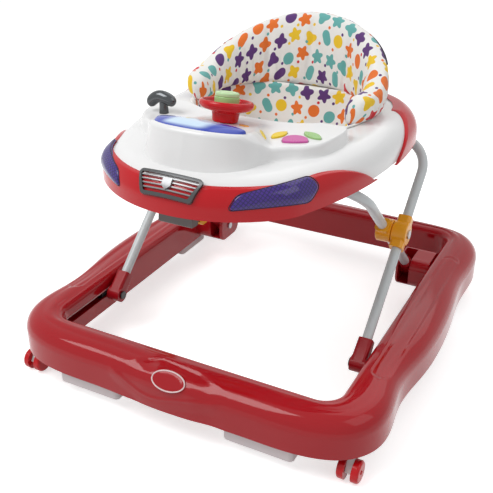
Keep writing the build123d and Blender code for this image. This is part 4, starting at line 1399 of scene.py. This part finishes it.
    def windscreen(self) -> None:
        """Make the toy windscreen: a half-moon bubble that climbs to the rear.

        Its front edge is a bow and its rear edge nearly straight. Over the pod's slope it rises
        evenly from the front edge to the rear one, with a shallow dome on top, and then drops.
        """
        across = np.linspace(-1, 1, 120)[:, None]
        up = np.linspace(0, 1, 22)[None]
        arch = np.sqrt(np.maximum(1 - np.abs(across) ** 2.2, 0))
        front = self.screen_tip - self.screen_depth * arch
        y = front + (self.screen_tip + 3.0 * arch - front) * up
        x = np.broadcast_to(self.screen_half * across, y.shape)
        lift = 0.4 + (2.6 + self.screen_rise * arch) * up**0.9
        lift = lift + self.screen_dome * arch * np.sin(np.pi * up)
        slope = self.on_pod(np.maximum(y, self.crest[1] - 1))
        skin = np.stack([x, y, slope + lift], -1)
        hem = np.stack([x[:, 0], y[:, 0] - 0.6, slope[:, 0] - 3.0], -1)
        drop = np.stack([x[:, -1], y[:, -1] + 0.8, slope[:, -1] - 2.0], -1)
        whole = np.concatenate([hem[:, None], skin, drop[:, None]], 1)
        share = np.concatenate([[0.0], up[0], [1.0]])
        uv = np.stack(np.broadcast_arrays((across + 1) / 2, share[None]), -1)
        screen = surface("windscreen", whole, uv=uv, sharp=50)
        # Its finish paints a pale reflection onto the blue screen.
        place(screen, "tray", SCREEN_BLUE, ["dash_windscreen"])

    def label(self, name: str, centre: Pair, size: Pair, turn: float, finish: Plastic) -> None:
        """Make a plain label: a thin oval plate that follows the console's top.

        Args:
            name: Name of the piece.
            centre: Place on the console.
            size: Half axes.
            turn: Turn in degrees.
            finish: Finish to use.
        """
        oval = turned(on_circle(whole_turn(48)) * size, turn)
        rings, lift = np.array([(0.02, 0.9), (0.5, 0.9), (0.9, 0.9), (1.0, 0.6), (1.0, -1.0)]).T
        flat = np.array(centre) + rings[:, None, None] * oval
        z = self.top(flat[..., 0], flat[..., 1]) + lift[:, None]
        place(surface(name, np.dstack([flat, z]), close_v=True), "tray", finish)

    def wheel(self) -> None:
        """Make the steering wheel with its column, and the two-tone horn in its cup."""
        c, s = on_circle(np.radians(self.slope))
        axis = np.array([0, s, c])
        origin = np.array(self.crest) + self.wheel_reach * np.array([0, c, -s])
        ring = lathe("steering_ring", self.wheel_profile, origin, axis, 96, 2.6)
        place(ring, "wheel", WHEEL_RED, ["steering_wheel"])
        horn = lathe("horn_body", self.horn_profile, origin, axis)
        place(horn, "horn", GREEN, ["horn_button"])
        place(lathe("horn_cap", self.cap_profile, origin, axis), "horn", PALE_GREEN)

    def lever(self) -> None:
        """Make the gear lever: a short tapered stick and a hooked knob that droops to its left tip.

        The knob's middle line runs smoothly through its points, and its radius falls to both ends
        as the root of 1 - |s| ** 5, where s runs from -1 to 1, so that both ends are round.
        """
        ball = np.array(self.lever_ball)
        climb = np.linspace(0, 1, 14)
        path = ball + (25 * climb - 6)[:, None] * [0, 0, 1]
        place(tube("lever_stick", path, 7.6 - 1.6 * climb, 28), "lever", LEVER, ["gear_lever"])
        along = np.linspace(0, 1, 60)
        spine = ball + smooth_line(self.knob_line, along) @ np.array([[1, 0, 0], [0, 0, 1]])
        thick = self.knob_radius * np.sqrt(np.clip(1 - np.abs(2 * along - 1) ** 5, 0.004, 1))
        place(tube("lever_knob", spine, thick, 36), "lever", LEVER)

    def build(self) -> None:
        """Make every piece of the dashboard."""
        self.console()
        self.windscreen()
        self.wheel()
        self.lever()
        self.label("label_left", (-72, -155), (10, 6), 20, LABEL_RED)
        self.label("label_right", (33, -154), (10, 6), -30, AMBER)
        self.label("label_strip", (70, -167), (17, 3.0), -52, YELLOW)


# The seat


@dataclass
class Seat:
    """Padded back with sewn channels, its dark piping, and the printed bucket below it."""

    axes: Pair = (153, 133)
    centre: float = 50
    inset: float = -6
    deck: float = 400
    deck_gap: float = 0.6
    end_height: float = 44
    climb: float = 78
    droop: float = 8
    lean: float = 0.1
    overhang: float = 12
    sag: float = 6
    sag_reach: Pair = (-24, -32)
    reach: float = 115
    round_end: float = 9
    padding: Pairs = ((-25, 34), (-10, 37), (20, 38), (90, 40), (160, 38), (190, 37), (205, 34))
    channels: Triple = (60, 92, 124)
    channel_depth: float = 7
    piping: float = 64
    mouth: Pair = (0, 36)
    sling: tuple[tuple[float, float, float, float], ...] = (
        (401.6, 307, 238, 113), (402, 300, 232, 110), (397, 294, 226, 107), (380, 288, 222, 105),
        (338, 262, 204, 96), (300, 228, 186, 88), (272, 190, 160, 76), (256, 150, 138, 66),
    )
    sling_points: int = 240
    sling_girth: float = 830
    cloth: float = 2.4
    hole_place: Triple = (62, -30, 296)
    hole_out: Triple = (0.35, -1, -0.35)
    hole_size: Pair = (42, 47)

    def ends(self, angle: Array) -> Array:
        """Roundness of the two ends: 1 along the back, falling as a quarter circle to 0 at each tip."""
        past = np.abs(np.degrees(angle) - 90) - (self.reach - self.round_end)
        return np.sqrt(1 - np.clip(past / self.round_end, 0, 0.985) ** 2)

    def height(self, angle: Array) -> Array:
        """Height of the back over the deck, which climbs as a power of the sine to its middle.

        Args:
            angle: Places round the back, in radians.

        Returns:
            Heights, of the shape of angle.
        """
        rise = np.sin(angle)
        slope = np.where(rise > 0, self.climb * np.maximum(rise, 0) ** 1.25, self.droop * rise)
        return (self.end_height + slope) * (0.35 + 0.65 * self.ends(angle))

    def thickness(self, angle: Array) -> Array:
        """Thickness of the padding: full between the sewn channels and drawn in at them.

        Args:
            angle: Places round the back, in radians.

        Returns:
            Thicknesses, of the shape of angle.
        """
        turn = np.degrees(angle)
        seam = sum(bell(turn - channel, 2.6) for channel in self.channels)
        full = np.interp(turn, *np.array(self.padding).T)
        return (full - self.channel_depth * np.clip(seam, 0, 1)) * self.ends(angle)

    def form(self, angle: Array, lap: Array, out: Array) -> Array:
        """Back before it is puffed: a full rounded section carried round the ellipse.

        At a lap angle the section stands at height * (1 - cos(lap)) / 2 and reaches out by half the
        thickness times a power of sin(lap). Small gathers run round its lower edge, and its inner
        side hangs over the opening.

        Args:
            angle: Places round the back, in radians.
            lap: Places round the section, in radians.
            out: Direction out of the ellipse at each place round the back.

        Returns:
            Grid of points, of shape (len(angle), len(lap), 3).
        """
        turn, ends = np.degrees(angle), self.ends(angle)[:, None]
        side, bulge = np.sin(lap), np.abs(np.sin(lap))
        z = self.height(angle)[:, None] * (0.5 - 0.5 * np.cos(lap))
        pucker = 2.6 * np.sin(turn * 0.62 + 0.8) * np.sin(turn * 1.31) + 1.5 * np.sin(turn * 0.9 + 1.9)
        half = self.thickness(angle)[:, None] / 2 * bulge**0.62
        half = half + pucker[:, None] * np.exp(-z / 26) * bulge * ends
        low = np.exp(-z / 20) * bulge**0.5 * ends
        hang = np.where(side < 0, self.overhang * low, 0)
        reach = self.inset + self.lean * z + np.sign(side) * half - hang
        over = smooth(*self.sag_reach, reach) * (side < 0)
        foot = on_circle(angle) * self.axes + [0, self.centre]
        flat = foot[:, None] + out[:, None] * reach[..., None]
        return np.dstack([flat, self.deck + self.deck_gap + (z - self.sag * low * over)])

    def seams(self, turn: Array, lap: Array) -> Array:
        """How firmly the cushion is held: at its channels, its foot, its crest and its ends.

        Args:
            turn: Places round the back, in degrees.
            lap: Places round the section, in radians.

        Returns:
            Values from 0 to 1, one for each point of the grid in order.
        """
        fixed = sum(bell(turn - channel, 1.2) for channel in self.channels)[:, None]
        fixed = fixed + bell(lap, 0.3) + bell(lap - 2 * np.pi, 0.3) + 0.9 * bell(lap - np.pi, 0.14)
        fixed[:3] = fixed[-3:] = 1
        return np.clip(fixed, 0, 1).ravel()

    def back(self) -> None:
        """Make the back, puffed by cloth pressure between its seams, and the piping along its crest.

        Its UV map runs along the mean length of three rows, and round each section from the crest.
        """
        turn = np.linspace(90 - self.reach, 90 + self.reach, 221)
        angle, lap = np.radians(turn), whole_turn(60)
        out = unit(on_circle(angle) / self.axes)
        points = self.form(angle, lap, out)
        crest = len(lap) // 2
        rows = points[:, [crest // 2, crest, crest + crest // 2]]
        along = walked(rows).mean(1)[:, None]
        girth = walked(np.concatenate([points, points[:, :1]], 1).swapaxes(0, 1)).T
        uv = np.stack(np.broadcast_arrays(along, girth - girth[:, crest, None]), -1) * MM
        piece = surface("seat_cushion", points, close_v=True, uv=uv, sharp=180, cap_u=True)
        puff(piece, self.seams(turn, lap), pressure=2.0, frames=14, cap=4.0)
        place(piece, "tray", PRINT, ["seat_back"])
        finer = piece.modifiers.new("subdivision", "SUBSURF")
        finer.levels = finer.render_levels = 1
        seam = (points[:, crest - 5] + with_height(out, 0) * 1.2)[np.abs(turn - 90) < self.piping]
        place(tube("seat_piping", seam, 1.3, 10), "tray", PIPING)

    def bucket(self) -> None:
        """Make the bucket: rounded rings from the hem down to the flat bottom, with soft folds between."""
        at, count = np.linspace(0, 1, 26), self.sling_points
        levels = smooth_line(self.sling, at)
        rings = np.stack([with_height(rounded_box(*size, self.mouth, count), z) for z, *size in levels])
        walk = whole_turn(count)
        fold = 1.6 * np.sin(walk * 9 + 1.0) + 1.1 * np.sin(walk * 17 + 0.4)
        swell = np.sin(np.pi * np.clip(at * 1.2, 0, 1)) ** 0.7
        draw = 2.2 + fold * swell[:, None]
        rings[..., :2] -= unit(rings[..., :2] - np.array(self.mouth)) * draw[..., None]
        floor = rings[-1:] * [0, 0, 1] + [*self.mouth, 0]
        shrink = np.linspace(1, 0.02, 12)[1:, None, None]
        sheet = np.concatenate([rings[-1:], rings[-1:] * shrink + floor * (1 - shrink)])
        down = walked(rings[:, count // 4])[:, None]
        uv = np.stack(np.broadcast_arrays(np.linspace(0, self.sling_girth, count + 1), down), -1) * MM
        flat = np.concatenate([sheet, sheet[:, :1]], 1)[..., :2] * MM
        walls = surface("seat_bucket", rings, close_v=True, uv=uv, sharp=180)
        bottom = surface("seat_bucket_bottom", sheet, close_v=True, uv=flat, sharp=180)
        for piece, nodes in ((walls, ["seat_sling", "seat_board"]), (bottom, [])):
            self.cut_leg_holes(piece)
            thick = piece.modifiers.new("cloth", "SOLIDIFY")
            thick.thickness = self.cloth * MM
            thick.offset = 0
            place(piece, "tray", PRINT, nodes)

    def cut_leg_holes(self, piece: Object) -> None:
        """Remove a piece's faces inside the two leg holes, which are ellipses seen along their axes.

        Args:
            piece: Wall or bottom of the bucket.
        """
        mesh = bmesh.new()
        mesh.from_mesh(piece.data)
        centres = np.array([f.calc_center_median() for f in mesh.faces]) / MM
        gone = np.zeros(len(centres), bool)
        for side in (-1, 1):
            out = unit(np.array(self.hole_out) * [side, 1, 1])
            across = unit(np.array([1.0, 0, 0]) - out * out[0])
            offset = centres - np.array(self.hole_place) * [side, 1, 1]
            spot = offset @ np.stack([across, np.cross(out, across)], 1) / self.hole_size
            gone |= ((spot**2).sum(1) < 1) & (offset @ out > 0)
        bmesh.ops.delete(mesh, geom=[f for f, g in zip(list(mesh.faces), gone) if g], context="FACES")
        mesh.to_mesh(piece.data)
        mesh.free()

    def build(self) -> None:
        """Make the back and the bucket."""
        self.back()
        self.bucket()


PRESSED_CLOTH: dict[str, object] = {
    "quality": 6,
    "mass": 0.2,
    "tension_stiffness": 12,
    "compression_stiffness": 12,
    "shear_stiffness": 6,
    "bending_stiffness": 0.4,
    "use_pressure": True,
    "vertex_group_mass": "seams",
    "pin_stiffness": 3,
}


def puff(piece: Object, pinned: Array, pressure: float, frames: int, cap: float) -> None:
    """Swell a closed cloth piece by pressure from inside, held at its seams, and keep the result.

    Args:
        piece: Closed mesh object.
        pinned: How firmly each vertex is held, from 0 to 1.
        pressure: Pressure of the cloth simulation.
        frames: Number of frames to run.
        cap: Furthest that a vertex may move, in millimetres.
    """
    if len(piece.data.vertices) != len(pinned):
        log.info("no cloth pressure on %s (%d of %d)", piece.name, len(piece.data.vertices), len(pinned))
        return
    group = piece.vertex_groups.new(name="seams")
    for weight in np.unique(np.round(pinned, 2)):
        chosen = np.flatnonzero(np.round(pinned, 2) == weight)
        group.add(chosen.tolist(), float(weight), "REPLACE")
    cloth = piece.modifiers.new("cloth", "CLOTH")
    for key, value in PRESSED_CLOTH.items():
        setattr(cloth.settings, key, value)
    cloth.settings.uniform_pressure_force = pressure
    cloth.settings.effector_weights.gravity = 0
    scene = bpy.context.scene
    for step in range(1, frames + 1):
        scene.frame_set(step)
    before, after = np.zeros((2, len(pinned) * 3))
    piece.data.vertices.foreach_get("co", before)
    solved = piece.evaluated_get(bpy.context.evaluated_depsgraph_get())
    solved.data.vertices.foreach_get("co", after)
    move = (after - before).reshape(-1, 3)
    size = np.linalg.norm(move, axis=1, keepdims=True)
    move *= np.minimum(1.0, cap * MM / np.maximum(size, 1e-9))
    piece.modifiers.remove(cloth)
    piece.vertex_groups.clear()
    scene.frame_set(1)
    piece.data.vertices.foreach_set("co", before + move.ravel())
    piece.data.update()
    log.info("cloth pressure moved %s by up to %.1f mm", piece.name, size.max() / MM)


# Pieces kept from CAD


@dataclass
class Fittings:
    """CAD nodes that keep their shape and get a finish."""

    finishes: tuple[tuple[Plastic, str], ...] = (
        (GREY_RUBBER, "brake_pads"),
        (BLACK, "caster_bushes foot_slider_left foot_slider_right speaker"),
        (FOOT_RED, "foot_track_left foot_track_right rear_feet front_feet"),
        (BASE_RED, "rear_sockets"),
        (STEEL, "rear_pivot_pins cross_pins battery_pack"),
        (AMBER, "inner_brackets outer_brackets release_bracket"),
        (SATIN_WHITE, "crossbar_glides glide_rails hinge_clamps"),
        (GRIP_GREY, "release_grip"),
        (FRAME_METAL, "grille_frame"),
        (BAR_METAL, "grille_bars grille_shield"),
        (YELLOW, "button_yellow"),
        (PINK, "button_pink"),
        (LEAF_GREEN, "button_green sound_board"),
    )
    casters: tuple[str, ...] = ("front_left", "front_right", "rear_left", "rear_right")

    def build(self) -> None:
        """Dress every node that is still shown."""
        pairs = [(name, finish) for finish, names in self.finishes for name in names.split()]
        for corner in self.casters:
            pairs += [("caster_fork_" + corner, SATIN_WHITE), ("caster_wheels_" + corner, WHEEL_RED)]
        for name, finish in pairs:
            dress(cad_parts[name], finish)
            log.info("node %s: %s", name, finish.name)


# Stage, light and camera


@dataclass
class Studio:
    """Pale floor, soft lamps and the camera at the photograph's angle, in metres and degrees."""

    camera_place: Triple = (0.539689, -1.110246, 0.797829)
    camera_turn: Triple = (62.5242, 0.0, 27.7316)
    lens: float = 58.22
    lamps: tuple[tuple[str, Triple, Triple, float, float], ...] = (
        ("key", (-1.0, -1.25, 2.2), (0, 0, 0.25), 1.3, 33),
        ("fill", (1.8, -0.2, 1.9), (0, 0, 0.25), 1.6, 9),
        ("back", (0.2, 1.5, 2.2), (0, 0, 0.3), 2.2, 13),
    )
    floor_half: float = 4.0
    floor_colour: Triple = (0.86, 0.86, 0.86)
    floor_glow: float = 0.6
    sky: float = 0.40
    sky_seen: float = 0.60

    def lamp(self, name: str, spot: Triple, aim: Triple, size: float, power: float) -> None:
        """Add a square area lamp that faces a point.

        Args:
            name: Name of the lamp.
            spot: Its place.
            aim: Point that it faces.
            size: Side of the square.
            power: Power in watts.
        """
        data = bpy.data.lights.new(name, "AREA")
        data.size = size
        data.energy = power
        lamp = bpy.data.objects.new(name, data)
        lamp.location = spot
        gaze = lamp.location - type(lamp.location)(aim)
        lamp.rotation_euler = gaze.to_track_quat("Z", "Y").to_euler()
        bpy.context.scene.collection.objects.link(lamp)

    def floor(self) -> None:
        """Make the floor, which glows a little where it is seen."""
        t = np.linspace(-self.floor_half, self.floor_half, 3) / MM
        floor = surface("floor", np.stack([*np.meshgrid(t, t, indexing="ij"), np.zeros((3, 3))], -1))
        material, w, shader = new_material("floor_white")
        looks = {
            "Base Color": (*self.floor_colour, 1),
            "Roughness": 0.9,
            "Specular IOR Level": 0.1,
            "Emission Color": (1, 1, 1, 1),
            "Emission Strength": w.math("MULTIPLY", seen_rays(w), self.floor_glow),
        }
        w.fill(shader, looks)
        floor.data.materials.append(material)

    def build(self) -> None:
        """Make the floor, the lamps, the world and the camera."""
        scene = bpy.context.scene
        scene.view_settings.view_transform = "Standard"
        self.floor()
        for lamp in self.lamps:
            self.lamp(*lamp)
        scene.world = bpy.data.worlds.new("studio")
        scene.world.use_nodes = True
        w = Wiring(scene.world.node_tree)
        strength = w.math("MULTIPLY_ADD", seen_rays(w), self.sky_seen, self.sky)
        w.fill(w.tree.nodes["Background"], {"Color": (1, 1, 1, 1), "Strength": strength})
        data = bpy.data.cameras.new("photo")
        data.lens = self.lens
        data.sensor_width = 36
        data.clip_end = 30
        camera = bpy.data.objects.new("photo", data)
        camera.location = self.camera_place
        camera.rotation_euler = np.radians(self.camera_turn)
        scene.collection.objects.link(camera)
        scene.camera = camera


def seen_rays(w: Wiring) -> Socket:
    """1 for rays that see the background: straight, in a reflection or through a clear piece.

    Args:
        w: Wiring of the material or the world.

    Returns:
        The output to use.
    """
    rays = w.node("LightPath").outputs
    mirrored_rays = w.math("MAXIMUM", rays["Is Glossy Ray"], rays["Is Transmission Ray"])
    return w.math("MAXIMUM", rays["Is Camera Ray"], mirrored_rays)


def main() -> None:
    """Build every sub-assembly, then the studio."""
    logging.basicConfig(level=logging.INFO, format="%(name)s: %(message)s")
    for part in (Base(), Legs(), Tray(), Dashboard(), Seat(), Fittings(), Studio()):
        log.info("building %s", type(part).__name__)
        part.build()


if __name__ == "__main__":
    main()
